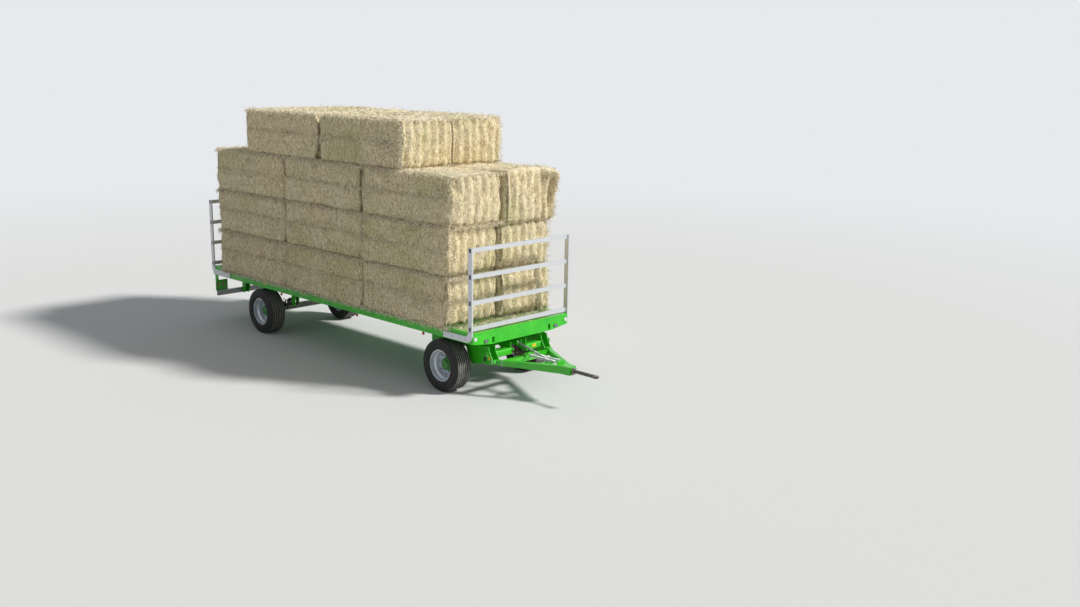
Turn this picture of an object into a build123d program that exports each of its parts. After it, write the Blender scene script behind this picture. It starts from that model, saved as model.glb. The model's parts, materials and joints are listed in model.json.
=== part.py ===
from build123d import *
import os
from math import atan2, cos, degrees, hypot, pi, sin, sqrt

# A two-axle platform wagon with a steered front bogie, loaded with big square hay bales.
# Millimetres. +X is the way it is towed, +Y its left side, +Z up, Z = 0 the ground,
# and X = 0 is halfway between the rear beam and the front tip of the towing eye.

# Fits
SEAT = 0.3                  # between pieces that are bolted or laid on each other
RACE_GAP = 0.5              # axial play of the turntable ball race
PIN_PLAY = 0.5              # radial play of a pin in its bore
BEARING_PLAY = 0.3          # radial play of a hub on its stub
RUNNING_GAP = 6.0           # between a turning wheel and what carries it

# Platform
PLATFORM_WIDTH = 2490
REAR_ROOM = 419             # free deck behind the bales
RAIL_HEIGHT = 204
RAIL_FLANGE = 60
SHEET_WALL = 6              # side rails, end beams and deck sheet
BEAM_DEPTH = 70             # front and rear beams, along X
BEAM_MID_HEIGHT = 262       # the end beams hang lower between the shoulders
BEAM_SHOULDER = 800         # from the middle to where the slope begins
SLOT_WIDTH = 60
SLOT_HEIGHT = 104
SLOT_OFFSET = 740           # from the middle
SLOT_DROP = 184             # below the deck
SLOT_DEPTH = 62
LIP_INSET = 12              # from the side rails' faces
LIP_WALL = 6
LIP_HEIGHT = 30
CROSS_HEIGHT = 80
CROSS_WIDTH = 60
CROSS_WALL = 5
CROSS_COUNT = 14
MAIN_SPREAD = 1000          # between the webs of the two main beams
MAIN_FLANGE = 100
MAIN_FLANGE_WALL = 12
MAIN_WEB = 8

# Turntable
TURNTABLE_SETBACK = 935     # behind the front beam
RACE_OUTER = 1050
RACE_INNER = 900
RACE_UPPER_HEIGHT = 40
RACE_LOWER_HEIGHT = 35
RACE_LIP = 14
RACE_LIP_WALL = 18

# Wheels and axles
WHEELBASE = 6140
TRACK = 2100
TYRE_RADIUS = 498
TYRE_WIDTH = 385
TREAD_WIDTH = 318
SHOULDER_DROP = 14
BEAD_HEEL = 10
RIM_FLANGE_RADIUS = 305
RIM_SEAT_RADIUS = 286
RIM_WELL_RADIUS = 258
RIM_WIDTH = 312
RIM_WALL = 9
RIM_INNER_LEDGE = 48        # width of the bead seats, inside and outside
RIM_OUTER_LEDGE = 78
RIM_SLOPE = 36              # from each seat down to the well
DISC_INSET = 62             # disc behind the middle plane of the rim
DISC_WALL = 14
DISC_BORE = 300
HAND_HOLES = 10
HAND_HOLE = 46
HAND_HOLE_CIRCLE = 446
HUB_BARREL = 236
HUB_BARREL_LENGTH = 78
HUB_CAP = 172
HUB_CAP_LENGTH = 46
DRUM_OUTER = 420
DRUM_LENGTH = 130
DRUM_WALL = 16
HUB_BACK = 30               # thickness of the hub behind the disc
BRAKE_PLATE = 392
BRAKE_PLATE_WALL = 24
AXLE_BEAM = 110
STUB_DIAMETER = 92
CAM_SETBACK = 114           # brake camshaft behind the middle of the axle
CAM_SHAFT = 38
CAM_INNER_END = 452         # from the middle of the wagon
CAM_BRACKET = 48
LEVER_OFFSET = 480          # brake lever and chamber from the middle of the wagon
LEVER_LENGTH = 135
LEVER_WIDTH = 44
LEVER_WALL = 18
PUSH_ROD = 16
CHAMBER_DIAMETER = 164
CHAMBER_LENGTH = 112
CHAMBER_EDGE = 18
CHAMBER_PLATE = 12

# Leaf springs
SPRING_SPREAD = 1380        # between the two packs of one axle
SPRING_ROOM = 278.9         # axle beam to the side boxes of the bogie
SPRING_WIDTH = 80
SPRING_HALF = 620           # eye to the middle of the pack
SPRING_RISE = 74            # eyes above the middle of the main leaf
LEAF_THICKNESS = 13
LEAF_COUNT = 5
LEAF_STEP = 95              # each leaf is this much shorter at both ends
SPRING_EYE = 58
SPRING_PIN = 30
CLAMP_LENGTH = 172
CLAMP_WALL = 14
LEAF_BED = 3                # how far the plates take in the curve of the leaves
STRAP_WALL = 12
U_BOLT = 20
U_BOLT_TAIL = 14

HANGER_LOBE = 40            # hanger below the centre of the spring eye
HANGER_LENGTH = 168
OUTRIGGER_HEIGHT = 60

# Bogie
BOGIE_RAIL_HEIGHT = 110
BOGIE_RAIL_REAR = 740       # behind the turntable centre
CHEEK_SPREAD = 146          # between the inner faces of the two cheeks at each end of the hinge
CHEEK_WALL = 14
BOGIE_CROSS = 96            # width of the cross boxes that carry the ball race
NOSE_BOX_HEIGHT = 128
NOSE_BOX_DEPTH = 120
NOSE_BOX_SETBACK = 66       # its front face behind the platform's front
NOSE_BOX_DROP = 114         # below the top of the bogie
NOSE_BOX_ROUND = 28
NOSE_GAP = 380              # opening between its two halves
NOSE_EAR = 66               # lug on the inner end of each half
NOSE_EAR_BORE = 26
ROD_CHEEK_GAP = 92
ROD_CHEEK_WALL = 12
ROD_CHEEK_DEPTH = 92

# Drawbar
HINGE_HEIGHT = 658
HINGE_PIN = 40
HINGE_PIN_INSIDE = 10       # pin proud of the cheeks
HINGE_PIN_OUTSIDE = 22
HINGE_BOSS = 88
HINGE_CHEEK_RADIUS = 36     # cheeks stay this close to the pin, clear of the arms
CHEEK_START = 190           # cheeks from this far ahead of the turntable centre
CHEEK_HEAD = 94             # top corner behind the hinge
CHEEK_SHOULDER = (-68, 188)                                         # from the hinge, X and Z
CHEEK_UNDERSIDE = ((-42, -56), (-272, -52), (-472, -118), (-562, -102), (-642, 42))
HINGE_LEAD = 2              # hinge line ahead of the front beam
DRAWBAR_REACH = 1850        # front beam to the centre of the towing eye
ARM_WIDTH = 80
ARM_TOP = 45                # above the hinge line
ARM_REAR_DROP = 45          # below the hinge line at the hinge
ARM_NOSE_DROP = 105         # below the hinge line at the nose
NOSE_START = 1150           # ahead of the front beam
NOSE_END = 1290
NOSE_HALF = 96
NOSE_PLATE = 22
NOSE_GUSSET = 120           # nose box starts this far behind the arms' ends
NOSE_CORNER = 18
REAR_TIE_SIZE = 100
REAR_TIE_LEAD = 118
REAR_TIE_DROP = 18          # its middle below the hinge line
MID_TIE_SIZE = 60
MID_TIE_LEAD = 700
SHANK_DIAMETER = 68
SHANK_FLANGE = 132
EYE_BORE = 40
EYE_OUTER = 112
EYE_THICKNESS = 36
LIFT_SPRING_SPREAD = 120
LIFT_SPRING_RADIUS = 30
LIFT_SPRING_WIRE = 12
LIFT_SPRING_COILS = 26
LIFT_SPRING_REAR = 210
LIFT_SPRING_FRONT = 980
LIFT_SPRING_RISE = 66       # above the hinge line
LIFT_SPRING_TAIL = 26       # hook behind the first coil's start
LIFT_SPRING_LEAD = 60       # straight end before and after the coils
LIFT_SPRING_HOOK = 7        # radius of the straight ends
ANCHOR_WALL = 16
ROD_DIAMETER = 34
ROD_SETBACK = 170           # rear end behind the hinge line, and below the top of the bogie
ROD_DROP = 34
ROD_SLEEVE = 46             # outer tube over the upper part
ROD_SLEEVE_SHARE = 0.48
ROD_NUT = 62
ROD_NUT_LENGTH = 44

# End gates
GATE_POST_DEPTH = 100       # along X
GATE_POST_WALL = 30         # across the wagon
GATE_HEIGHT = 1548          # above the deck
GATE_RAIL_HEIGHT = 80
GATE_RAIL_DEPTH = 40
GATE_RAIL_PITCH = 478
GATE_RAILS = 4
GATE_TUBE_WALL = 4
FOOT_LENGTH = 775
FOOT_HEIGHT = 110
FOOT_DROP = 70              # below the deck
FOOT_INNER_RADIUS = 90
FOOT_OUTER_RADIUS = 150
CAP_PROUD = 4
CAP_PLUG = 24               # plug inside the rail's end

# Lamps, reflectors and rear guard
REFLECTOR_DIAMETER = 72
REFLECTOR_THICKNESS = 10
FRONT_REFLECTOR_INSET = 55  # from the side of the platform
FRONT_REFLECTOR_DROP = 110
FRONT_LAMP_OFFSET = 920
FRONT_LAMP_DROP = 190
FRONT_LAMP_WIDTH = 104
FRONT_LAMP_HEIGHT = 52
FRONT_LAMP_THICKNESS = 16
SIDE_MARKS = (1420, 3480, 6200)     # behind the front beam
SIDE_LAMP_DIAMETER = 44
SIDE_LAMP_WIDTH = 26
SIDE_LAMP_STEM = 14
SIDE_LAMP_INSET = 34
BOARD_WIDTH = 300
BOARD_DROP = 146            # board's top under the side rail
BOARD_HEIGHT = 250
BOARD_INSET = 29            # from the side of the platform
BOARD_WALL = 8
BOARD_SETBACK = 40          # ahead of the rear beam's back face
HANGER_WIDTH = 70
HANGER_FOOT = 22            # hanger ahead of the board at its foot, and at its flared top
HANGER_FLARE = 150
TAIL_LAMP_DIAMETER = 96
TAIL_LAMP_THICKNESS = 34
TAIL_LAMP_PITCH = 132
GUARD_HEIGHT = 120
GUARD_DEPTH = 54
GUARD_WALL = 5
GUARD_INSET = 40            # its ends from the side of the platform
GUARD_DROP = 53             # its middle under the lower edge of the lamp boards
GUARD_LEG_SPREAD = 1000
GUARD_LEG_WIDTH = 120
GUARD_LEG_WALL = 10
GUARD_LEG_FOOT = 96         # depth along X at the foot and under the beam
GUARD_LEG_HEAD = 250

# Rear coupling and air tank
JAW_WIDTH = 150
JAW_HEIGHT = 150
JAW_SETBACK = 6
JAW_PIN_LEAD = 32
JAW_MOUTH = 76
JAW_PIN = 38
COUPLING_BOX_HEIGHT = 206
COUPLING_BOX_DEPTH = 96
TANK_DIAMETER = 246
TANK_LENGTH = 760
TANK_LEAD = 3300            # behind the front beam
TANK_STRAP = 40

# Hay bales
BALE_LENGTH = 2660
BALE_WIDTH = 1262
BALE_HEIGHT = 926
BALE_END_GAP = 12
BALE_SIDE_GAP = 10
BALE_EDGE = 62
STACK_SETBACK = 577         # behind the front beam
STACK_LAYERS = 3
STACK_COLUMNS = 3
TOP_COLUMNS = 2
TOP_BALE_LENGTH = 2580
TOP_GAP = 130
TOP_SETBACK = 1946

# Places that follow
STACK_LENGTH = STACK_COLUMNS * BALE_LENGTH + (STACK_COLUMNS - 1) * BALE_END_GAP
PLATFORM_LENGTH = STACK_SETBACK + STACK_LENGTH + REAR_ROOM
AXLE_TOP = TYRE_RADIUS + AXLE_BEAM / 2
BOGIE_RAIL_UNDER = AXLE_TOP + SPRING_ROOM
BOGIE_TOP = BOGIE_RAIL_UNDER + BOGIE_RAIL_HEIGHT
RACE_SPLIT = BOGIE_TOP + SEAT + RACE_LOWER_HEIGHT + RACE_GAP
RACE_TOP = RACE_SPLIT + RACE_UPPER_HEIGHT
MAIN_BOTTOM = RACE_TOP + SEAT
DECK_HEIGHT = MAIN_BOTTOM + BEAM_MID_HEIGHT     # ground to the top of the deck
EYE_TIP = DRAWBAR_REACH + EYE_OUTER / 2
FRONT = (PLATFORM_LENGTH - EYE_TIP) / 2
REAR = FRONT - PLATFORM_LENGTH
RAIL_FACE = PLATFORM_WIDTH / 2
RAIL_BOTTOM = DECK_HEIGHT - RAIL_HEIGHT
DECK_UNDER = DECK_HEIGHT - SHEET_WALL
CROSS_TOP = DECK_UNDER - SEAT
CROSS_BOTTOM = CROSS_TOP - CROSS_HEIGHT
MAIN_TOP = CROSS_BOTTOM - SEAT
TURN_X = FRONT - TURNTABLE_SETBACK
REAR_AXLE_X = TURN_X - WHEELBASE
HINGE_X = FRONT + HINGE_LEAD
HINGE_Y = SPRING_SPREAD / 2
BOARD_OUTER = RAIL_FACE - BOARD_INSET
BOARD_TOP = RAIL_BOTTOM - BOARD_DROP
BOARD_BOTTOM = BOARD_TOP - BOARD_HEIGHT
NOSE_BOX_TOP = BOGIE_TOP - NOSE_BOX_DROP
GUARD_MIDDLE = BOARD_BOTTOM - GUARD_DROP
SIDES = (("left", 1), ("right", -1))


def block(x0, x1, y0, y1, z0, z1):
    """A box from its lowest to its highest corner."""
    corner = Pos((x0 + x1) / 2, (y0 + y1) / 2, (z0 + z1) / 2)
    return corner * Box(abs(x1 - x0), abs(y1 - y0), abs(z1 - z0))


def tube_y(diameter, y0, y1, x, z):
    """A round bar along Y."""
    return Pos(x, (y0 + y1) / 2, z) * Rot(90, 0, 0) * Cylinder(diameter / 2, abs(y1 - y0))


def tube_x(diameter, x0, x1, y, z):
    """A round bar along X."""
    return Pos((x0 + x1) / 2, y, z) * Rot(0, 90, 0) * Cylinder(diameter / 2, abs(x1 - x0))


def plate_xz(points, y0, y1):
    """A flat plate cut to an outline of X, Z points, from y0 to y1."""
    face = make_face(Polyline(*[(x, 0, z) for x, z in points], close=True))
    low, high = min(y0, y1), max(y0, y1)
    return Pos(0, low, 0) * extrude(face, amount=high - low, dir=(0, 1, 0))


def plate_yz(points, x0, x1):
    """A flat plate cut to an outline of Y, Z points, from x0 to x1."""
    face = make_face(Polyline(*[(0, y, z) for y, z in points], close=True))
    low, high = min(x0, x1), max(x0, x1)
    return Pos(low, 0, 0) * extrude(face, amount=high - low, dir=(1, 0, 0))


def revolve_y(points):
    """A closed outline of radius, Y points turned about the Y axis."""
    face = make_face(Polyline(*[(r, y, 0) for r, y in points], close=True))
    return revolve(face, axis=Axis.Y)


def save(name, *solids):
    """One STEP file for one node, holding one or more solids."""
    parts = []
    for piece in solids:
        parts.extend(piece.solids())
    shape = parts[0] if len(parts) == 1 else Compound(children=parts)
    export_step(shape, f"parts/{name}.step")


# Platform

def side_rail(side):
    """A channel with its web outward and its flanges under the load."""
    outer = side * RAIL_FACE
    inner = side * (RAIL_FACE - RAIL_FLANGE)
    web = side * (RAIL_FACE - SHEET_WALL)
    x0 = REAR + BEAM_DEPTH + SEAT
    x1 = FRONT - BEAM_DEPTH - SEAT
    body = block(x0, x1, inner, outer, RAIL_BOTTOM, DECK_HEIGHT)
    low, high = RAIL_BOTTOM + SHEET_WALL, DECK_UNDER
    return body - block(x0, x1, inner - side, web, low, high)


def end_beam_outline(inset):
    """Half of it hangs at rail height, the middle is deeper, and the shoulders slope."""
    y, top = RAIL_FACE - inset, DECK_HEIGHT - inset
    side_bottom, mid = RAIL_BOTTOM + inset, MAIN_BOTTOM + inset
    half = [(y, top), (y, side_bottom), (BEAM_SHOULDER, mid)]
    mirrored = [(-a, b) for a, b in reversed(half)]
    return half + mirrored


def end_beam(face_x, inward):
    """A folded beam across one end, open towards the middle of the wagon."""
    back = face_x + inward * BEAM_DEPTH
    skin = face_x + inward * SHEET_WALL
    body = plate_yz(end_beam_outline(0), face_x, back)
    return body - plate_yz(end_beam_outline(SHEET_WALL), skin, back + inward)


def front_beam():
    """The front beam has a lip along its top edge and two upright slots with closed pockets."""
    beam = end_beam(FRONT, -1)
    lip = RAIL_FACE - LIP_INSET
    beam += block(FRONT - 1, FRONT + LIP_WALL, -lip, lip, DECK_HEIGHT - LIP_HEIGHT, DECK_HEIGHT)
    z = DECK_HEIGHT - SLOT_DROP
    z0, z1 = z - SLOT_HEIGHT / 2, z + SLOT_HEIGHT / 2
    t = SHEET_WALL
    for _, side in SIDES:
        y = side * SLOT_OFFSET
        y0, y1 = y - SLOT_WIDTH / 2, y + SLOT_WIDTH / 2
        beam += block(FRONT - SLOT_DEPTH - t, FRONT - 1, y0 - t, y1 + t, z0 - t, z1 + t)
        beam -= block(FRONT - SLOT_DEPTH, FRONT + 1, y0, y1, z0, z1)
    return beam


def deck_plate():
    """The deck sheet lies between the top flanges, flush with them."""
    y = RAIL_FACE - RAIL_FLANGE - SEAT
    x0 = REAR + BEAM_DEPTH + SEAT
    x1 = FRONT - BEAM_DEPTH - SEAT
    return block(x0, x1, -y, y, DECK_UNDER, DECK_HEIGHT)


def main_beam(side):
    """An I-beam under the cross members, from end beam to end beam."""
    y = side * MAIN_SPREAD / 2
    x0 = REAR + BEAM_DEPTH + SEAT
    x1 = FRONT - BEAM_DEPTH - SEAT
    half, web = MAIN_FLANGE / 2, MAIN_WEB / 2
    low, high = MAIN_BOTTOM + MAIN_FLANGE_WALL, MAIN_TOP - MAIN_FLANGE_WALL
    return (block(x0, x1, y - half, y + half, MAIN_BOTTOM, low)
            + block(x0, x1, y - web, y + web, low, high)
            + block(x0, x1, y - half, y + half, high, MAIN_TOP))


def cross_member(x):
    """A hat section open at the bottom, from rail web to rail web."""
    half = RAIL_FACE - SHEET_WALL - SEAT
    w = CROSS_WIDTH / 2
    body = block(x - w, x + w, -half, half, CROSS_BOTTOM, CROSS_TOP)
    inner = w - CROSS_WALL
    return body - block(x - inner, x + inner, -half - 1, half + 1, CROSS_BOTTOM - 1, CROSS_TOP - CROSS_WALL)


def cross_members():
    """Evenly spaced under the deck."""
    first = REAR + BEAM_DEPTH + CROSS_WIDTH
    last = FRONT - BEAM_DEPTH - CROSS_WIDTH
    pitch = (last - first) / (CROSS_COUNT - 1)
    return [cross_member(first + i * pitch) for i in range(CROSS_COUNT)]


# Turntable

def race_upper():
    """Flat ring bolted under the main beams, with a lip over the ball track."""
    ro, ri = RACE_OUTER / 2, RACE_INNER / 2
    ring = Cylinder(ro, RACE_UPPER_HEIGHT) - Cylinder(ri, RACE_UPPER_HEIGHT)
    ring = Pos(TURN_X, 0, RACE_SPLIT + RACE_UPPER_HEIGHT / 2) * ring
    return ring


def race_lower():
    """Ring bolted on the bogie, stepped on its outside."""
    ro, ri = RACE_OUTER / 2, RACE_INNER / 2
    height = RACE_LOWER_HEIGHT
    top = RACE_SPLIT - RACE_GAP
    ring = Cylinder(ro, height) - Cylinder(ri, height)
    groove = Pos(0, 0, (height - RACE_LIP) / 2) * (
        Cylinder(ro, RACE_LIP) - Cylinder(ro - RACE_LIP_WALL, RACE_LIP))
    return Pos(TURN_X, 0, top - height / 2) * (ring - groove)


# Wheels

def tyre_profile():
    """Half widths and radii of the tyre's outer and inner line."""
    w, t, r = TYRE_WIDTH / 2, TREAD_WIDTH / 2, TYRE_RADIUS
    bead, seat = RIM_WIDTH / 2 - RIM_WALL - SEAT, RIM_SEAT_RADIUS + SEAT
    heel = RIM_FLANGE_RADIUS + BEAD_HEEL
    mid = (r + RIM_FLANGE_RADIUS) / 2
    low, round_off = r - SHOULDER_DROP, SHOULDER_DROP * 0.7
    half = [(bead, seat), (bead, heel), (w, mid), (t + round_off, low),
            (t + round_off * 0.2, r - SHOULDER_DROP * 0.3), (t - round_off, r)]
    with BuildLine() as line:
        for flip in (-1, 1):
            p = [(radius, flip * y) for y, radius in half]
            Line(p[0], p[1])
            ThreePointArc(p[1], p[2], p[3])
            ThreePointArc(p[3], p[4], p[5])
        Line((r, -half[5][0]), (r, half[5][0]))
        Line((seat, -bead), (seat, bead))
    return line.line


def tyre():
    """Closed ring of rubber about Y."""
    return revolve(make_face(tyre_profile()), axis=Axis.Y)


def rim(side):
    """Drop-centre rim with an inset disc, about Y, its dish towards the given side."""
    half, wall = RIM_WIDTH / 2, RIM_WALL
    flange, seat, well = RIM_FLANGE_RADIUS, RIM_SEAT_RADIUS, RIM_WELL_RADIUS
    slope, inner_ledge, outer_ledge = RIM_SLOPE, half - RIM_INNER_LEDGE, half - RIM_OUTER_LEDGE
    outer = [(flange, -half), (flange, -half + wall), (seat, -half + wall), (seat, -inner_ledge),
             (well, -inner_ledge + slope), (well, outer_ledge - slope), (seat, outer_ledge),
             (seat, half - wall), (flange, half - wall), (flange, half)]
    inner = [(seat - wall, half), (seat - wall, outer_ledge), (well - wall, outer_ledge - slope),
             (well - wall, -inner_ledge + slope), (seat - wall, -inner_ledge), (seat - wall, -half)]
    barrel = revolve_y(outer + inner)
    disc_y = -DISC_INSET
    disc = Rot(90, 0, 0) * (Cylinder(well - wall / 2, DISC_WALL) - Cylinder(DISC_BORE / 2, DISC_WALL))
    disc = Pos(0, disc_y, 0) * disc
    hole = Rot(90, 0, 0) * Cylinder(HAND_HOLE / 2, DISC_WALL * 3)
    for i in range(HAND_HOLES):
        a = 2 * pi * i / HAND_HOLES
        r = HAND_HOLE_CIRCLE / 2
        disc -= Pos(r * cos(a), disc_y, r * sin(a)) * hole
    body = barrel + disc
    return body if side > 0 else body.mirror(Plane.XZ)


def hub(side):
    """Hub barrel and cap outside the disc, brake drum inside it."""
    face = -DISC_INSET + DISC_WALL / 2 + SEAT
    back = -DISC_INSET - DISC_WALL / 2 - SEAT
    barrel, cap, flange = HUB_BARREL / 2, HUB_CAP / 2, DISC_BORE / 2 - 1
    tip = face + HUB_BARREL_LENGTH
    end = tip + HUB_CAP_LENGTH
    bore = STUB_DIAMETER / 2 + BEARING_PLAY
    drum, wall = DRUM_OUTER / 2, DRUM_WALL
    points = [(0, end), (cap - 14, end), (cap, end - 14), (cap, tip), (barrel - 10, tip),
              (barrel, tip - 10), (barrel, face), (flange, face), (flange, back),
              (drum, back), (drum, back - DRUM_LENGTH), (drum - wall, back - DRUM_LENGTH),
              (drum - wall, back - HUB_BACK), (bore, back - HUB_BACK), (bore, face), (0, face)]
    body = revolve_y(points)
    return body if side > 0 else body.mirror(Plane.XZ)


def wheel_places():
    """Name, X and side of each wheel."""
    for end, x in (("front", TURN_X), ("rear", REAR_AXLE_X)):
        for name, side in SIDES:
            yield f"{end}_{name}", x, side


# Axles and springs

def brake_gear(x, side):
    """Camshaft behind the axle, its lever, and the air chamber that pushes it."""
    z, b = TYRE_RADIUS, AXLE_BEAM / 2
    y, w, cam_x = side * LEVER_OFFSET, LEVER_WALL / 2, x - CAM_SETBACK
    push_z = z + LEVER_LENGTH
    drum_back = TRACK / 2 - DISC_INSET - DISC_WALL / 2 - SEAT - DRUM_LENGTH
    plate = drum_back - RUNNING_GAP - BRAKE_PLATE_WALL
    gear = tube_y(CAM_SHAFT, side * CAM_INNER_END, side * (plate + 1), cam_x, z)
    inner = side * (CAM_INNER_END + CAM_SHAFT / 2)
    half = CAM_BRACKET / 2
    gear += block(cam_x, x - b + 1, side * CAM_INNER_END, inner, z - half, z + half)
    foot, tip = LEVER_WIDTH / 2, PUSH_ROD
    outline = [(cam_x - foot, z - foot), (cam_x + foot, z - foot), (cam_x + tip, push_z + tip),
               (cam_x - tip, push_z + tip)]
    gear += plate_xz(outline, y - w, y + w)
    stand = x + b + CHAMBER_PLATE
    gear += tube_x(PUSH_ROD, cam_x, stand, y, push_z)
    half = CHAMBER_DIAMETER / 2 - CHAMBER_EDGE
    gear += block(x + b - 1, stand, y - half, y + half, z - b / 2, push_z + half)
    chamber = tube_x(CHAMBER_DIAMETER, stand - 1, stand + CHAMBER_LENGTH, y, push_z)
    return gear + fillet(chamber.edges().group_by(Axis.X)[-1], CHAMBER_EDGE)


def axle(x):
    """Square beam with a stub and a brake plate at each end."""
    drum_back = TRACK / 2 - DISC_INSET - DISC_WALL / 2 - SEAT - DRUM_LENGTH
    half = drum_back - RUNNING_GAP
    b = AXLE_BEAM / 2
    body = block(x - b, x + b, -half, half, TYRE_RADIUS - b, TYRE_RADIUS + b)
    tip = TRACK / 2 - DISC_INSET + DISC_WALL / 2 - RUNNING_GAP
    for _, side in SIDES:
        body += tube_y(STUB_DIAMETER, side * (half - BRAKE_PLATE_WALL), side * tip, x, TYRE_RADIUS)
        body += tube_y(BRAKE_PLATE, side * (half - BRAKE_PLATE_WALL), side * half, x, TYRE_RADIUS)
        body += brake_gear(x, side)
    return body


def spring_centre_z():
    """Middle height of the main leaf over the axle."""
    return AXLE_TOP + SEAT + CLAMP_WALL + LEAF_THICKNESS * (LEAF_COUNT - 0.5)


def leaf_face(index, radius):
    """Side view of one leaf, a slice of a ring about a point high above the axle."""
    outer = radius + LEAF_THICKNESS * (index + 0.5)
    inner = outer - LEAF_THICKNESS
    reach = SPRING_HALF - LEAF_STEP * index
    outer_rise, inner_rise = sqrt(outer ** 2 - reach ** 2), sqrt(inner ** 2 - reach ** 2)
    with BuildLine() as line:
        ThreePointArc((-reach, -outer_rise), (0, -outer), (reach, -outer_rise))
        Line((reach, -outer_rise), (reach, -inner_rise))
        ThreePointArc((reach, -inner_rise), (0, -inner), (-reach, -inner_rise))
        Line((-reach, -inner_rise), (-reach, -outer_rise))
    return make_face(line.line)


def leaf_pack(x, side):
    """The leaves and rolled eyes of one spring, its saddle, top plate, U-bolts and strap."""
    radius = (SPRING_HALF ** 2 + SPRING_RISE ** 2) / (2 * SPRING_RISE)
    middle = spring_centre_z()
    outline = leaf_face(0, radius)
    for i in range(1, LEAF_COUNT):
        outline += leaf_face(i, radius)
    for end in (-1, 1):
        outline += Pos(end * SPRING_HALF, SPRING_RISE - radius) * Circle(SPRING_EYE / 2)
    for end in (-1, 1):
        outline -= Pos(end * SPRING_HALF, SPRING_RISE - radius) * Circle(SPRING_PIN / 2 + PIN_PLAY)
    pack = Pos(x, 0, middle + radius) * extrude(Plane.XZ * outline, amount=SPRING_WIDTH / 2, both=True)
    c, w, strap = CLAMP_LENGTH / 2, SPRING_WIDTH / 2, SPRING_WIDTH / 2 + U_BOLT + 2 * SEAT
    saddle, top = AXLE_TOP + SEAT, middle + LEAF_THICKNESS / 2
    strap_top = TYRE_RADIUS - AXLE_BEAM / 2 - SEAT
    strap_low = strap_top - STRAP_WALL
    pack += block(x - c, x + c, -w, w, saddle, saddle + CLAMP_WALL + LEAF_BED)
    pack += block(x - c, x + c, -strap, strap, top - LEAF_BED, top + CLAMP_WALL)
    pack += block(x - c, x + c, -strap, strap, strap_low, strap_top)
    bolt_low, bolt_top = strap_low - U_BOLT_TAIL, top + CLAMP_WALL + U_BOLT
    for sx in (-1, 1):
        for sy in (-1, 1):
            bx = x + sx * (AXLE_BEAM / 2 + U_BOLT / 2 + SEAT)
            by = sy * (w + U_BOLT / 2 + SEAT)
            bolt = Cylinder(U_BOLT / 2, bolt_top - bolt_low)
            pack += Pos(bx, by, (bolt_low + bolt_top) / 2) * bolt
    return Pos(0, side * HINGE_Y, 0) * pack


def eye_height():
    """Centre of the spring eyes above the ground."""
    return spring_centre_z() + SPRING_RISE


# Bogie

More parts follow.
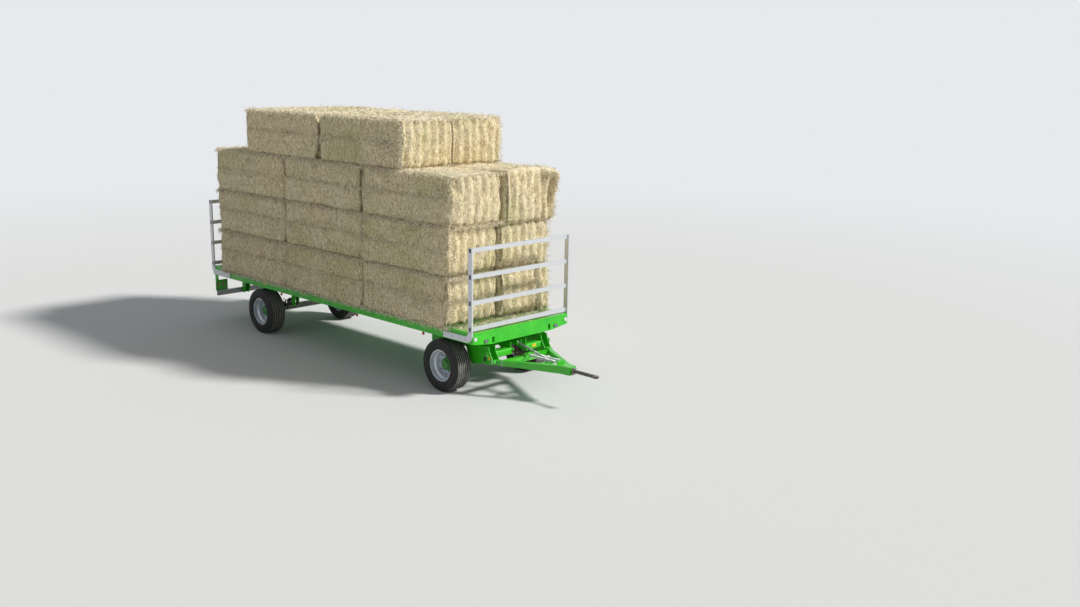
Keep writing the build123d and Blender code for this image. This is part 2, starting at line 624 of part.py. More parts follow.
def bogie_frame():
    """Two side boxes, two cross boxes under the ball race, and the cheeks at the ends."""
    top, under = BOGIE_TOP, BOGIE_RAIL_UNDER
    inner = HINGE_Y - CHEEK_SPREAD / 2
    outer = HINGE_Y + CHEEK_SPREAD / 2
    rail_front = FRONT - NOSE_BOX_SETBACK - NOSE_BOX_DEPTH
    body = None
    for _, side in SIDES:
        rail = block(TURN_X - BOGIE_RAIL_REAR, rail_front, side * inner, side * outer, under, top)
        body = rail if body is None else body + rail
    reach = (RACE_OUTER + RACE_INNER) / 4
    c = BOGIE_CROSS / 2
    for x in (TURN_X - reach, TURN_X + reach):
        body += block(x - c, x + c, -inner - 1, inner + 1, under, top)
    for _, side in SIDES:
        y = side * reach
        body += block(TURN_X - reach, TURN_X + reach, y - c, y + c, under, top)
    eye_z = eye_height()
    r = HINGE_CHEEK_RADIUS
    nose = [CHEEK_SHOULDER, (r * 0.7, r * 0.7), (r, 0), (r * 0.7, -r * 0.7), *CHEEK_UNDERSIDE]
    front_cheek = [(TURN_X + CHEEK_START, top), (HINGE_X - CHEEK_HEAD, top)]
    front_cheek += [(HINGE_X + x, HINGE_HEIGHT + z) for x, z in nose]
    rear_x, end_x = TURN_X - SPRING_HALF, TURN_X - BOGIE_RAIL_REAR
    wide, narrow, lobe = HANGER_LENGTH * 0.75, HANGER_LENGTH * 0.35, SPRING_EYE / 2 + CHEEK_WALL
    rear_cheek = [(rear_x + wide, under), (rear_x + narrow, eye_z - lobe), (rear_x - narrow, eye_z - lobe),
                  (end_x, under - lobe), (end_x, top), (rear_x + wide, top)]
    for _, side in SIDES:
        for y, out in ((inner, -1), (outer, 1)):
            y0, y1 = side * y, side * (y + out * CHEEK_WALL)
            body += plate_xz(front_cheek, y0, y1)
            body += plate_xz(rear_cheek, y0, y1)
    for _, side in SIDES:
        y0, y1 = side * (inner - CHEEK_WALL - 1), side * (outer + CHEEK_WALL + 1)
        body -= tube_y(HINGE_PIN + 2 * PIN_PLAY, y0, y1, HINGE_X, HINGE_HEIGHT)
        for end in (-1, 1):
            eye_x = TURN_X + end * SPRING_HALF
            body += tube_y(SPRING_PIN, side * (inner - 1), side * (outer + 1), eye_x, eye_z)
    nose_back = FRONT - NOSE_BOX_SETBACK - NOSE_BOX_DEPTH
    nose_front = FRONT - NOSE_BOX_SETBACK
    for _, side in SIDES:
        y0, y1 = side * NOSE_GAP / 2, side * (inner - 1)
        box = block(nose_back, nose_front, y0, y1, NOSE_BOX_TOP - NOSE_BOX_HEIGHT, NOSE_BOX_TOP)
        body += fillet(box.edges().filter_by(Axis.Y).group_by(Axis.X)[-1], NOSE_BOX_ROUND)
        web_front = nose_front - NOSE_BOX_ROUND
        web = [(TURN_X + reach, top), (web_front, top), (web_front, NOSE_BOX_TOP - NOSE_BOX_HEIGHT),
               (nose_back, NOSE_BOX_TOP - NOSE_BOX_HEIGHT), (TURN_X + reach, under)]
        body += plate_xz(web, y0, y0 + side * CHEEK_WALL)
        ear_y, ear_z = y0 - side * CHEEK_WALL, NOSE_BOX_TOP - NOSE_EAR / 2
        body += tube_y(NOSE_EAR, ear_y, y0 + side, nose_front, ear_z)
        body += block(web_front, nose_front, ear_y, y0 + side, NOSE_BOX_TOP - NOSE_EAR, NOSE_BOX_TOP)
        body -= tube_y(NOSE_EAR_BORE, ear_y - side, y0 + side * CHEEK_WALL, nose_front, ear_z)
        cheek = side * ROD_CHEEK_GAP / 2
        low = top - ROD_CHEEK_DEPTH
        body += block(TURN_X + reach, nose_front, cheek, cheek + side * ROD_CHEEK_WALL, low, top)
    return body


# Drawbar

def arm_middle(lead):
    """Half the spread of the arms' middle lines at a place ahead of the front beam."""
    share = (lead - HINGE_LEAD) / (NOSE_START - HINGE_LEAD)
    return HINGE_Y - share * (HINGE_Y - NOSE_HALF + ARM_WIDTH / 2)


def arm(side):
    """A tapered box arm from its hinge boss to the nose."""
    run, across = NOSE_START - HINGE_LEAD, HINGE_Y - arm_middle(NOSE_START)
    angle, length = degrees(atan2(across, run)), hypot(run, across)
    start = ARM_WIDTH / 2
    outline = [(start, -ARM_REAR_DROP), (length, -ARM_NOSE_DROP), (length, ARM_TOP), (start, ARM_TOP)]
    body = plate_xz(outline, -ARM_WIDTH / 2, ARM_WIDTH / 2)
    body = Pos(HINGE_X, side * HINGE_Y, HINGE_HEIGHT) * Rot(0, 0, -side * angle) * body
    w = CHEEK_SPREAD / 2 - RUNNING_GAP
    boss = tube_y(HINGE_BOSS, side * (HINGE_Y - w), side * (HINGE_Y + w), HINGE_X, HINGE_HEIGHT)
    return body + boss


def drawbar_frame():
    """Two arms, two ties, the nose box and its plate."""
    top, low = HINGE_HEIGHT + ARM_TOP, HINGE_HEIGHT - ARM_NOSE_DROP
    body = arm(1) + arm(-1)
    x1 = FRONT + NOSE_END
    start = NOSE_START - NOSE_GUSSET
    outline = [(FRONT + start, arm_middle(start)), (x1 - NOSE_CORNER, NOSE_HALF),
               (x1, NOSE_HALF - NOSE_CORNER)]
    mirrored = [(x, -y) for x, y in reversed(outline)]
    face = make_face(Polyline(*[(x, y, 0) for x, y in outline + mirrored], close=True))
    body += Pos(0, 0, low) * extrude(face, amount=top - low, dir=(0, 0, 1))
    body += block(x1 - 1, x1 + NOSE_PLATE, -SHANK_FLANGE / 2 - 8, SHANK_FLANGE / 2 + 8, low, top + 6)
    tie = REAR_TIE_SIZE / 2
    tie_x = HINGE_X + REAR_TIE_LEAD
    tie_z = HINGE_HEIGHT - REAR_TIE_DROP
    reach = arm_middle(REAR_TIE_LEAD)
    body += block(tie_x - tie, tie_x + tie, -reach, reach, tie_z - tie, tie_z + tie)
    mid = MID_TIE_SIZE / 2
    mid_x = FRONT + MID_TIE_LEAD
    mid_y = arm_middle(MID_TIE_LEAD)
    body += block(mid_x - mid, mid_x + mid, -mid_y, mid_y, HINGE_HEIGHT - mid, HINGE_HEIGHT + mid)
    anchor = FRONT + LIFT_SPRING_FRONT
    wall, lug_top = ANCHOR_WALL, HINGE_HEIGHT + LIFT_SPRING_RISE + LIFT_SPRING_RADIUS
    half, reach = LIFT_SPRING_SPREAD / 2 + LIFT_SPRING_RADIUS, arm_middle(LIFT_SPRING_FRONT)
    body += block(anchor, anchor + wall, -half, half, HINGE_HEIGHT, lug_top)
    body += block(anchor, anchor + wall, -reach, reach, HINGE_HEIGHT, HINGE_HEIGHT + ARM_TOP)
    rear = FRONT + LIFT_SPRING_REAR - LIFT_SPRING_TAIL
    body += block(rear - wall, rear, -half, half, HINGE_HEIGHT, lug_top)
    for _, side in SIDES:
        w = CHEEK_SPREAD / 2
        y0 = side * (HINGE_Y - w - CHEEK_WALL - HINGE_PIN_INSIDE)
        y1 = side * (HINGE_Y + w + CHEEK_WALL + HINGE_PIN_OUTSIDE)
        body += tube_y(HINGE_PIN, y0, y1, HINGE_X, HINGE_HEIGHT)
    return body


def towing_eye():
    """Flange, forged shank and ring with an upright bore."""
    x0 = FRONT + NOSE_END + NOSE_PLATE + SEAT
    z = HINGE_HEIGHT + (ARM_TOP - ARM_NOSE_DROP) / 2
    eye_x = FRONT + DRAWBAR_REACH
    body = tube_x(SHANK_FLANGE, x0, x0 + 24, 0, z)
    body += tube_x(SHANK_DIAMETER, x0, eye_x - EYE_OUTER / 2 + 14, 0, z)
    ring = Pos(eye_x, 0, z) * Cylinder(EYE_OUTER / 2, EYE_THICKNESS)
    body += ring
    return body - Pos(eye_x, 0, z) * Cylinder(EYE_BORE / 2, SHANK_DIAMETER + 2)


def lift_springs():
    """Two close-wound springs between the rear and front brackets."""
    z = HINGE_HEIGHT + LIFT_SPRING_RISE
    x0 = FRONT + LIFT_SPRING_REAR
    x1 = FRONT + LIFT_SPRING_FRONT
    core = LIFT_SPRING_RADIUS - LIFT_SPRING_WIRE
    start, stop, hook = x0 + LIFT_SPRING_LEAD, x1 - LIFT_SPRING_LEAD, LIFT_SPRING_HOOK
    tail = x0 - LIFT_SPRING_TAIL
    pitch = (stop - start) / LIFT_SPRING_COILS
    coils = []
    for _, side in SIDES:
        points = [(tail, 0), (tail, hook), (start, hook), (start, core)]
        for i in range(LIFT_SPRING_COILS):
            a = start + i * pitch
            points += [(a + pitch * 0.3, LIFT_SPRING_RADIUS), (a + pitch * 0.7, LIFT_SPRING_RADIUS),
                       (a + pitch, core)]
        points += [(stop, hook), (x1, hook), (x1, 0)]
        face = make_face(Polyline(*[(x, 0, r) for x, r in points], close=True))
        coils.append(Pos(0, side * LIFT_SPRING_SPREAD / 2, z) * revolve(face, axis=Axis.X))
    return coils


def support_rod():
    """Threaded rod from the middle tie up to the bogie, with its nut."""
    x0, z0 = -ROD_SETBACK, BOGIE_TOP - ROD_DROP - HINGE_HEIGHT
    x1, z1 = MID_TIE_LEAD - HINGE_LEAD, MID_TIE_SIZE / 2 + SEAT + ROD_DIAMETER
    length = hypot(x1 - x0, z1 - z0)
    angle = degrees(atan2(z0 - z1, x1 - x0))
    rod = Pos(length / 2, 0, 0) * Rot(0, 90, 0) * Cylinder(ROD_DIAMETER / 2, length)
    rod += Pos(ROD_NUT_LENGTH, 0, 0) * Rot(0, 90, 0) * Cylinder(ROD_NUT / 2, ROD_NUT_LENGTH)
    sleeve = length * ROD_SLEEVE_SHARE - ROD_NUT_LENGTH
    middle = ROD_NUT_LENGTH + sleeve / 2
    rod += Pos(middle, 0, 0) * Rot(0, 90, 0) * Cylinder(ROD_SLEEVE / 2, sleeve)
    rod = Pos(HINGE_X + x0, 0, HINGE_HEIGHT + z0) * Rot(0, angle, 0) * rod
    x = FRONT + MID_TIE_LEAD
    low = HINGE_HEIGHT + MID_TIE_SIZE / 2 + SEAT
    lug = block(x - 34, x + 26, -ROD_DIAMETER / 2 - 6, ROD_DIAMETER / 2 + 6, low, low + ROD_DIAMETER * 1.8)
    return rod + lug


# End gates

def gate_post(x_face, inward, side):
    """An upright tube bent into a foot along the side rail."""
    y0 = side * (RAIL_FACE + SEAT)
    y1 = side * (RAIL_FACE + SEAT + GATE_POST_WALL)
    top = DECK_HEIGHT + GATE_HEIGHT
    foot_top, foot_low = DECK_HEIGHT - FOOT_DROP, DECK_HEIGHT - FOOT_DROP - FOOT_HEIGHT
    inner_x = x_face + inward * GATE_POST_DEPTH
    end = x_face + inward * FOOT_LENGTH
    ri, ro, k = FOOT_INNER_RADIUS, FOOT_OUTER_RADIUS, 1 - sqrt(0.5)
    with BuildLine() as line:
        Line((x_face, top), (x_face, foot_low + ro))
        ThreePointArc((x_face, foot_low + ro), (x_face + inward * ro * k, foot_low + ro * k),
                      (x_face + inward * ro, foot_low))
        Polyline((x_face + inward * ro, foot_low), (end, foot_low), (end, foot_top),
                 (inner_x + inward * ri, foot_top))
        ThreePointArc((inner_x + inward * ri, foot_top), (inner_x + inward * ri * k, foot_top + ri * k),
                      (inner_x, foot_top + ri))
        Polyline((inner_x, foot_top + ri), (inner_x, top), (x_face, top))
    face = Plane.XZ * make_face(line.line)
    low = min(y0, y1)
    return Pos(0, low, 0) * extrude(face, amount=GATE_POST_WALL, dir=(0, 1, 0))


def gate_rail_heights():
    """Centre heights of the four rails of a gate."""
    first = DECK_HEIGHT + GATE_HEIGHT - GATE_RAIL_HEIGHT / 2
    return [first - i * GATE_RAIL_PITCH for i in range(GATE_RAILS)]


def gate_posts(x_face, inward):
    """Both posts of one gate, with a window for each rail."""
    posts = []
    x = x_face + inward * GATE_POST_DEPTH / 2
    half = GATE_RAIL_DEPTH / 2 + SEAT
    tall = GATE_RAIL_HEIGHT / 2 + SEAT
    for _, side in SIDES:
        post = gate_post(x_face, inward, side)
        y0, y1 = side * RAIL_FACE, side * (RAIL_FACE + GATE_POST_WALL + 2)
        for z in gate_rail_heights()[1:]:
            post -= block(x - half, x + half, y0, y1, z - tall, z + tall)
        z = gate_rail_heights()[0]
        post -= block(x - half, x + half, y0, y1, z - tall, z + GATE_RAIL_HEIGHT)
        posts.append(post)
    return posts


def gate_rails(x_face, inward):
    """Four rectangular tubes through both posts."""
    x = x_face + inward * GATE_POST_DEPTH / 2
    d, h, t = GATE_RAIL_DEPTH / 2, GATE_RAIL_HEIGHT / 2, GATE_TUBE_WALL
    reach = RAIL_FACE + SEAT + GATE_POST_WALL
    rails = []
    for z in gate_rail_heights():
        rail = block(x - d, x + d, -reach, reach, z - h, z + h)
        rail -= block(x - d + t, x + d - t, -reach - 1, reach + 1, z - h + t, z + h - t)
        rails.append(rail)
    return rails


def gate_caps():
    """Plastic plugs in the ends of all the gate rails."""
    caps = []
    reach = RAIL_FACE + SEAT + GATE_POST_WALL
    d, h, t = GATE_RAIL_DEPTH / 2, GATE_RAIL_HEIGHT / 2, GATE_TUBE_WALL + SEAT
    for x_face, inward in ((FRONT, -1), (REAR, 1)):
        x = x_face + inward * GATE_POST_DEPTH / 2
        for z in gate_rail_heights():
            for _, side in SIDES:
                start = side * (reach - CAP_PLUG)
                face, end = side * (reach + SEAT), side * (reach + CAP_PROUD)
                plug = block(x - d + t, x + d - t, start, face, z - h + t, z + h - t)
                caps.append(plug + block(x - d, x + d, face, end, z - h, z + h))
    return caps


# Lamps and reflectors

def front_reflectors():
    """White discs near the corners of the front beam."""
    z = DECK_HEIGHT - FRONT_REFLECTOR_DROP
    x0, x1 = FRONT + SEAT, FRONT + REFLECTOR_THICKNESS
    y = RAIL_FACE - FRONT_REFLECTOR_INSET
    return [tube_x(REFLECTOR_DIAMETER, x0, x1, side * y, z) for _, side in SIDES]


def front_lamps():
    """Oval position lamps on the front beam."""
    lamps = []
    z = DECK_HEIGHT - FRONT_LAMP_DROP
    for _, side in SIDES:
        face = Plane(origin=(FRONT + SEAT, side * FRONT_LAMP_OFFSET, z), x_dir=(0, 1, 0), z_dir=(1, 0, 0))
        lamp = extrude(face * SlotOverall(FRONT_LAMP_WIDTH, FRONT_LAMP_HEIGHT), amount=FRONT_LAMP_THICKNESS)
        lamps.append(fillet(lamp.edges().group_by(Axis.X)[-1], 5))
    return lamps


def side_lamps():
    """Small round marker lamps on stems under the side rails and the rear corners."""
    lamps = []
    stem_low = RAIL_BOTTOM - SEAT - SIDE_LAMP_STEM
    z = stem_low - SIDE_LAMP_DIAMETER / 2 + 2
    for back in SIDE_MARKS:
        for _, side in SIDES:
            y = side * (RAIL_FACE - SIDE_LAMP_INSET)
            w = SIDE_LAMP_WIDTH / 2
            body = tube_y(SIDE_LAMP_DIAMETER, y - w, y + w, FRONT - back, z)
            body += block(FRONT - back - 8, FRONT - back + 8, y - 5, y + 5, z, RAIL_BOTTOM - SEAT)
            lamps.append(body)
    return lamps


def lamp_board(side):
    """Upright lamp plate and the flared hanger that carries it under the rear corner."""
    x1 = REAR + BOARD_SETBACK
    x0 = x1 - BOARD_WALL
    outer, inner = side * BOARD_OUTER, side * (BOARD_OUTER - BOARD_WIDTH)
    plate = block(x0, x1, outer, inner, BOARD_BOTTOM, BOARD_TOP)
    mid = (BOARD_BOTTOM + BOARD_TOP) / 2
    for i in range(2):
        y = side * (BOARD_OUTER - 56 - i * TAIL_LAMP_PITCH)
        plate -= tube_x(TAIL_LAMP_DIAMETER - 26, x0 - 1, x1 + 1, y, mid + 24)
    hang_top = RAIL_BOTTOM - SEAT
    low, foot, flare = BOARD_BOTTOM + SHEET_WALL, x1 + HANGER_FOOT, x1 + HANGER_FLARE
    with BuildLine() as line:
        Polyline((x0, hang_top), (x0, low), (foot, low))
        ThreePointArc((foot, low), (foot + HANGER_FOOT, hang_top - HANGER_FLARE), (flare, hang_top))
        Line((flare, hang_top), (x0, hang_top))
    face = Plane.XZ * make_face(line.line)
    y = side * (BOARD_OUTER + 2)
    low = min(y, y + side * SHEET_WALL)
    web = Pos(0, low, 0) * extrude(face, amount=SHEET_WALL, dir=(0, 1, 0))
    flange = block(x0, x1, side * (BOARD_OUTER - HANGER_WIDTH), y, BOARD_TOP - 1, hang_top)
    board = web + flange + plate + block(x0, x1, outer, y, BOARD_BOTTOM, BOARD_TOP)
    return board - plate_yz(end_beam_outline(-SEAT), REAR - 1, REAR + BEAM_DEPTH + SEAT)


def tail_lamps():
    """Two round lamps on each board, facing back."""
    mid = (BOARD_BOTTOM + BOARD_TOP) / 2 + 24
    x1 = REAR + BOARD_SETBACK - BOARD_WALL - SEAT
    x0 = x1 - TAIL_LAMP_THICKNESS + 4
    lamps = []
    for _, side in SIDES:
        for i in range(2):
            y = side * (BOARD_OUTER - 56 - i * TAIL_LAMP_PITCH)
            lamp = tube_x(TAIL_LAMP_DIAMETER, x0, x1, y, mid)
            lamps.append(chamfer(lamp.edges().group_by(Axis.X)[0], 6))
    return lamps


def rear_guard():
    """Ribbed bar across the back under the platform."""
    x0 = REAR + BOARD_SETBACK + SEAT
    x1 = x0 + GUARD_DEPTH
    z0, z1 = GUARD_MIDDLE - GUARD_HEIGHT / 2, GUARD_MIDDLE + GUARD_HEIGHT / 2
    half, t = RAIL_FACE - GUARD_INSET, GUARD_WALL
    third = (GUARD_HEIGHT - t) / 3
    bar = block(x0, x1, -half, half, z0, z1)
    for i in range(3):
        low = z0 + t + i * third
        bar -= block(x0 + t, x1 - t, -half - 1, half + 1, low, low + third - t)
    for i in (1, 2):
        z = z0 + t / 2 + i * third
        for x in (x0, x1):
            bar -= block(x - 3, x + 3, -half - 1, half + 1, z - 4, z + 4)
    return bar


def guard_legs():
    """Two hanging brackets from the main beams to the rear guard."""
    legs = []
    x0 = REAR + BOARD_SETBACK + SEAT + GUARD_DEPTH + SEAT
    top, low = MAIN_BOTTOM - SEAT, GUARD_MIDDLE - GUARD_HEIGHT / 2
    outline = [(x0, low), (x0 + GUARD_LEG_FOOT, low), (x0 + GUARD_LEG_HEAD, top), (x0, top)]
    for _, side in SIDES:
        y = side * GUARD_LEG_SPREAD / 2
        w, t = GUARD_LEG_WIDTH / 2, GUARD_LEG_WALL
        leg = plate_xz(outline, y - w, y + w)
        leg -= block(x0 + t, x0 + GUARD_LEG_HEAD + 1, y - w + t, y + w - t, low - 1, top + 1)
        legs.append(leg)
    return legs


# Rear suspension, coupling and tank

def rear_hangers():
    """Spring brackets of the rear axle, with an outrigger from each main beam."""
    body = []
    eye_z = eye_height()
    w = SPRING_WIDTH / 2 + RUNNING_GAP / 2
    top = MAIN_BOTTOM - SEAT
    low = eye_z - HANGER_LOBE
    for _, side in SIDES:
        y = side * HINGE_Y
        inner, outer = side * (MAIN_SPREAD - MAIN_FLANGE) / 2, y + side * (w + CHEEK_WALL)
        for end in (-1, 1):
            x = REAR_AXLE_X + end * SPRING_HALF
            narrow, wide = HANGER_LOBE + 10, HANGER_LENGTH / 2
            outline = [(x - narrow, low), (x + narrow, low), (x + wide, top), (x - wide, top)]
            piece = plate_xz(outline, y - w - CHEEK_WALL, y - w)
            piece += plate_xz(outline, y + w, y + w + CHEEK_WALL)
            piece += tube_y(SPRING_PIN, y - w - 1, y + w + 1, x, eye_z)
            piece += block(x - wide, x + wide, inner, outer, top - OUTRIGGER_HEIGHT, top)
            body.append(piece)
    return body


def jaw_height():
    """Middle height of the rear jaw."""
    return MAIN_BOTTOM - SEAT - COUPLING_BOX_HEIGHT + JAW_HEIGHT / 2


def rear_coupling():
    """Box between the main beams with a jaw for a second wagon's eye."""
    half = (GUARD_LEG_SPREAD - GUARD_LEG_WIDTH) / 2 - SEAT
    x0 = REAR + BOARD_SETBACK + GUARD_DEPTH + 2 * SEAT
    top = MAIN_BOTTOM - SEAT
    box = block(x0, x0 + COUPLING_BOX_DEPTH, -half, half, top - COUPLING_BOX_HEIGHT, top)
    w = JAW_WIDTH / 2
    z = jaw_height()
    x_jaw = REAR + JAW_SETBACK
    jaw = block(x_jaw, x0 + 1, -w, w, z - JAW_HEIGHT / 2, z + JAW_HEIGHT / 2)
    m = JAW_MOUTH / 2
    jaw -= block(x_jaw - 1, x0 - 14, -w - 1, w + 1, z - m, z + m)
    jaw = box + jaw
    return jaw - Pos(x_jaw + JAW_PIN_LEAD, 0, z) * Cylinder(JAW_PIN / 2 + PIN_PLAY, JAW_HEIGHT + 2)


def coupling_pin():
    """Drop pin of the jaw, with a loop handle."""
    z = jaw_height()
    x = REAR + JAW_SETBACK + JAW_PIN_LEAD
    low, high = z - JAW_HEIGHT / 2 - 12, z + JAW_HEIGHT / 2 + 34
    pin = Pos(x, 0, (low + high) / 2) * Cylinder(JAW_PIN / 2, high - low)
    pin += Pos(x, 0, z + JAW_HEIGHT / 2 + SEAT + 6) * Cylinder(JAW_PIN / 2 + 12, 12)
    return pin


def air_tank():
    """Air reservoir across the main beams, with its straps."""
    x = FRONT - TANK_LEAD
    r = TANK_DIAMETER / 2
    z = MAIN_BOTTOM - SEAT - r - 12
    half = TANK_LENGTH / 2
    body = tube_y(TANK_DIAMETER, -half, half, x, z)
    body = fillet(body.edges().filter_by(GeomType.CIRCLE), 60)
    for y in (-MAIN_SPREAD / 4, MAIN_SPREAD / 4):
        body += tube_y(TANK_DIAMETER + 8, y - TANK_STRAP / 2, y + TANK_STRAP / 2, x, z)
    beam = MAIN_SPREAD / 2 + MAIN_FLANGE / 2
    body += block(x - 40, x + 40, -beam, beam, MAIN_BOTTOM - SEAT - 16, MAIN_BOTTOM - SEAT)
    return body


# Hay bales

def bale(length, x, y, z):
    """One big square bale, its long edges rounded by the press and its own weight."""
    body = Pos(x, y, z) * Box(length, BALE_WIDTH, BALE_HEIGHT)
    return fillet(body.edges().filter_by(Axis.X), BALE_EDGE)


def bale_layer(level, columns, length, front_x, gap):
    """Bales two abreast, lengthwise, in one layer."""
    z = DECK_HEIGHT + SEAT + level * (BALE_HEIGHT + SEAT) + BALE_HEIGHT / 2
    y = (BALE_WIDTH + BALE_SIDE_GAP) / 2
    bales = []
    for i in range(columns):
        x = front_x - length / 2 - i * (length + gap)
        for _, side in SIDES:
            bales.append(bale(length, x, side * y, z))
    return bales


os.makedirs("parts", exist_ok=True)

for name, side in SIDES:
    save(f"side_rail_{name}", side_rail(side))
    save(f"main_beam_{name}", main_beam(side))
    save(f"rear_lamp_board_{name}", lamp_board(side))
save("deck_plate", deck_plate())
save("front_beam", front_beam())
save("rear_beam", end_beam(REAR, 1))
save("cross_members", *cross_members())
save("turntable_upper_ring", race_upper())
for gate, x_face, inward in (("front", FRONT, -1), ("rear", REAR, 1)):
    save(f"{gate}_gate_posts", *gate_posts(x_face, inward))
    save(f"{gate}_gate_rails", *gate_rails(x_face, inward))
save("gate_rail_caps", *gate_caps())
save("front_reflectors", *front_reflectors())
save("front_lamps", *front_lamps())
save("side_marker_lamps", *side_lamps())
save("tail_lamps", *tail_lamps())
save("rear_guard_bar", rear_guard())
save("rear_guard_legs", *guard_legs())
save("rear_spring_hangers", *rear_hangers())
save("rear_springs", *[leaf_pack(REAR_AXLE_X, side) for _, side in SIDES])
save("rear_axle", axle(REAR_AXLE_X))
save("rear_coupling", rear_coupling())
save("coupling_pin", coupling_pin())
save("air_tank", air_tank())
for level in range(STACK_LAYERS):
    layer = bale_layer(level, STACK_COLUMNS, BALE_LENGTH, FRONT - STACK_SETBACK, BALE_END_GAP)
    save(f"hay_bales_layer_{level + 1}", *layer)
top_layer = bale_layer(STACK_LAYERS, TOP_COLUMNS, TOP_BALE_LENGTH, FRONT - TOP_SETBACK, TOP_GAP)
save("hay_bales_top", *top_layer)

save("turntable_lower_ring", race_lower())
save("bogie_frame", bogie_frame())
save("front_springs", *[leaf_pack(TURN_X, side) for _, side in SIDES])
save("front_axle", axle(TURN_X))

save("drawbar_frame", drawbar_frame())
save("towing_eye", towing_eye())
save("lift_springs", *lift_springs())
save("support_rod", support_rod())

for name, x, side in wheel_places():
    place = Pos(x, side * TRACK / 2, TYRE_RADIUS)
    save(f"tyre_{name}", place * tyre())
    save(f"rim_{name}", place * rim(side))
    save(f"hub_{name}", place * hub(side))
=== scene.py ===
import json
from itertools import product
from math import cos, pi, radians, sin, tau

import bpy
import numpy as np
from mathutils import Matrix, Vector
from numpy.random import default_rng


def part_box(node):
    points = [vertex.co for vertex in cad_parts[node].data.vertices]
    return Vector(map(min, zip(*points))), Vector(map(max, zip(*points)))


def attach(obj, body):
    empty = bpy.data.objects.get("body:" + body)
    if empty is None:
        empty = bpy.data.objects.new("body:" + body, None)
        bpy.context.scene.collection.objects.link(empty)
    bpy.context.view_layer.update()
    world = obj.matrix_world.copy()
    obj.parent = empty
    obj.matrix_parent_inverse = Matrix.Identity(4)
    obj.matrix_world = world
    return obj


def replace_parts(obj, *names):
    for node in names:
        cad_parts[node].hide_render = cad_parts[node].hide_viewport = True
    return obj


# Looks of a two-axle hay wagon and its load. Metres, +X the way it is towed, +Y its left side, +Z up.

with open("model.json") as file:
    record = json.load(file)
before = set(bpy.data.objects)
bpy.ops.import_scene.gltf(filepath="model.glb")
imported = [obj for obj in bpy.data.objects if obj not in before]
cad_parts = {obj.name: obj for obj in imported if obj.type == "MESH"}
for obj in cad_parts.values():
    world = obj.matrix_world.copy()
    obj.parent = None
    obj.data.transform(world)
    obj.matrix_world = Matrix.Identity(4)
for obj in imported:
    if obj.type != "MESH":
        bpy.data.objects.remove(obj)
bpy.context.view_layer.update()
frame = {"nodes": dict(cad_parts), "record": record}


# Camera, solved from the photograph
CAMERA_PLACE = (17.419, -14.013, 6.012)
CAMERA_YAW = -43.755  # degrees, 0 looks along +Y
CAMERA_PITCH = -12.439
CAMERA_ROLL = 0.901
CAMERA_LENS = 36.13  # on a 36 mm wide sensor

# Light and floor
SUN_FROM = (0.66, 0.42, 0.62)
SUN_STRENGTH = 4.1
SUN_ANGLE = 8.0  # degrees
SUN_COLOUR = (1.0, 0.97, 0.92)
SKY_LIGHT = 0.30
SKY_COLOUR = (0.93, 0.96, 1.0)
BACKDROP = (0.80, 0.82, 0.84)
FLOOR = (0.66, 0.67, 0.68)
FLOOR_HALF = 300.0
FLOOR_FADE = (14.0, 34.0)  # distances between which the floor turns into the backdrop

# Pressed bales
LAYERS = ("hay_bales_layer_1", "hay_bales_layer_2", "hay_bales_layer_3", "hay_bales_top")
BALE_CELLS = (48, 42, 24)
BALE_ROUND = 0.026
BALE_PROUD = 0.002  # keeps the pressed faces clear of the solids
BALE_SHIFT = 0.013
BALE_YAW = 0.4  # degrees
NOISE_CELLS = 32
STRINGS = 6
STRING_BITE_END = 0.034
STRING_BITE_TOP = 0.014
STRING_WIDTH = 0.022
TWINE_RADIUS = 0.0028
TWINE_BEND = 0.05
RIB_SWELL = 0.021
RIB_WANDER = 0.034
END_CROWN = 0.020
END_ROLL = 0.030  # the ends roll back this far at their top and bottom
END_MESS = 0.020
END_BREAK = 0.10  # most that is broken off the edges of a bale's ends
INNER_ROLL = 0.06  # how far the ends roll back toward the middle seam
FLAKE_DEPTH = 0.008
SIDE_GROOVE = 0.024  # groove where the side's two rows of flakes meet
SIDE_STEP = 0.009
UNEVEN = ((0.018, 1.9, 4), (0.013, 6.5, 5), (0.013, (17, 17, 9), 6))  # depth, scale and seed of each noise
EDGE_WEAR = 0.052
WEAR_START = 0.90
COLUMN_VALLEY = 0.055  # how far the sides of a bale draw in at its ends
COLUMN_POWER = 30
SEAM_START = 0.89  # share of the half width where a bale starts to sink toward the middle seam
SEAM_DEPTH = 0.17
SEAM_CLEAR = 0.10  # no loose stalk lies nearer to the seam
OVERHANG = 0.032  # the lowest bales bulge this far over the side rails
OVERHANG_RISE = 0.2
DROOP = 0.045
DROOP_RISE = 0.12
RAIL_CLEAR = 0.004
DECK_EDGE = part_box("side_rail_left")[1][1]

# Bales that stand out of line. A bale is (layer, number), counted from the front, right before left.
TORN_BALE = (2, 0)
LOOSE_BALE = (2, 1)
LOOSE_SHIFT = (0.12, 0.045, 0.0)
STILL = (0.0, 0.0, 0.0)
BALE_MOVES = {  # how far a bale's low and high corners stand from those of the solid
    (0, 0): (STILL, (-0.11, 0, 0)),
    (1, 0): (STILL, (-0.10, 0, 0)),
    TORN_BALE: ((0.045, 0, 0), (0.02, 0, 0)),
    LOOSE_BALE: (LOOSE_SHIFT, LOOSE_SHIFT),
    (2, 2): (STILL, (-0.045, 0, 0)),
}
LOOSENED = 0.13  # the loose bale's front end stands this share higher
TUFT = 0.085
TUFT_PULL = np.array((1.9, 0.2, -1.5)) * TUFT
TEAR_PLACE = 0.78  # slanting tear in its front end: share of the half width at mid height
TEAR_LEAN = 0.08
TEAR_SIZE = 0.055
TEAR_DEPTH = 0.075
BITE_DROP = 0.17  # missing corner of the torn bale, below its top
BITE_DEPTH = 0.11
BITE_SIZE = 0.15

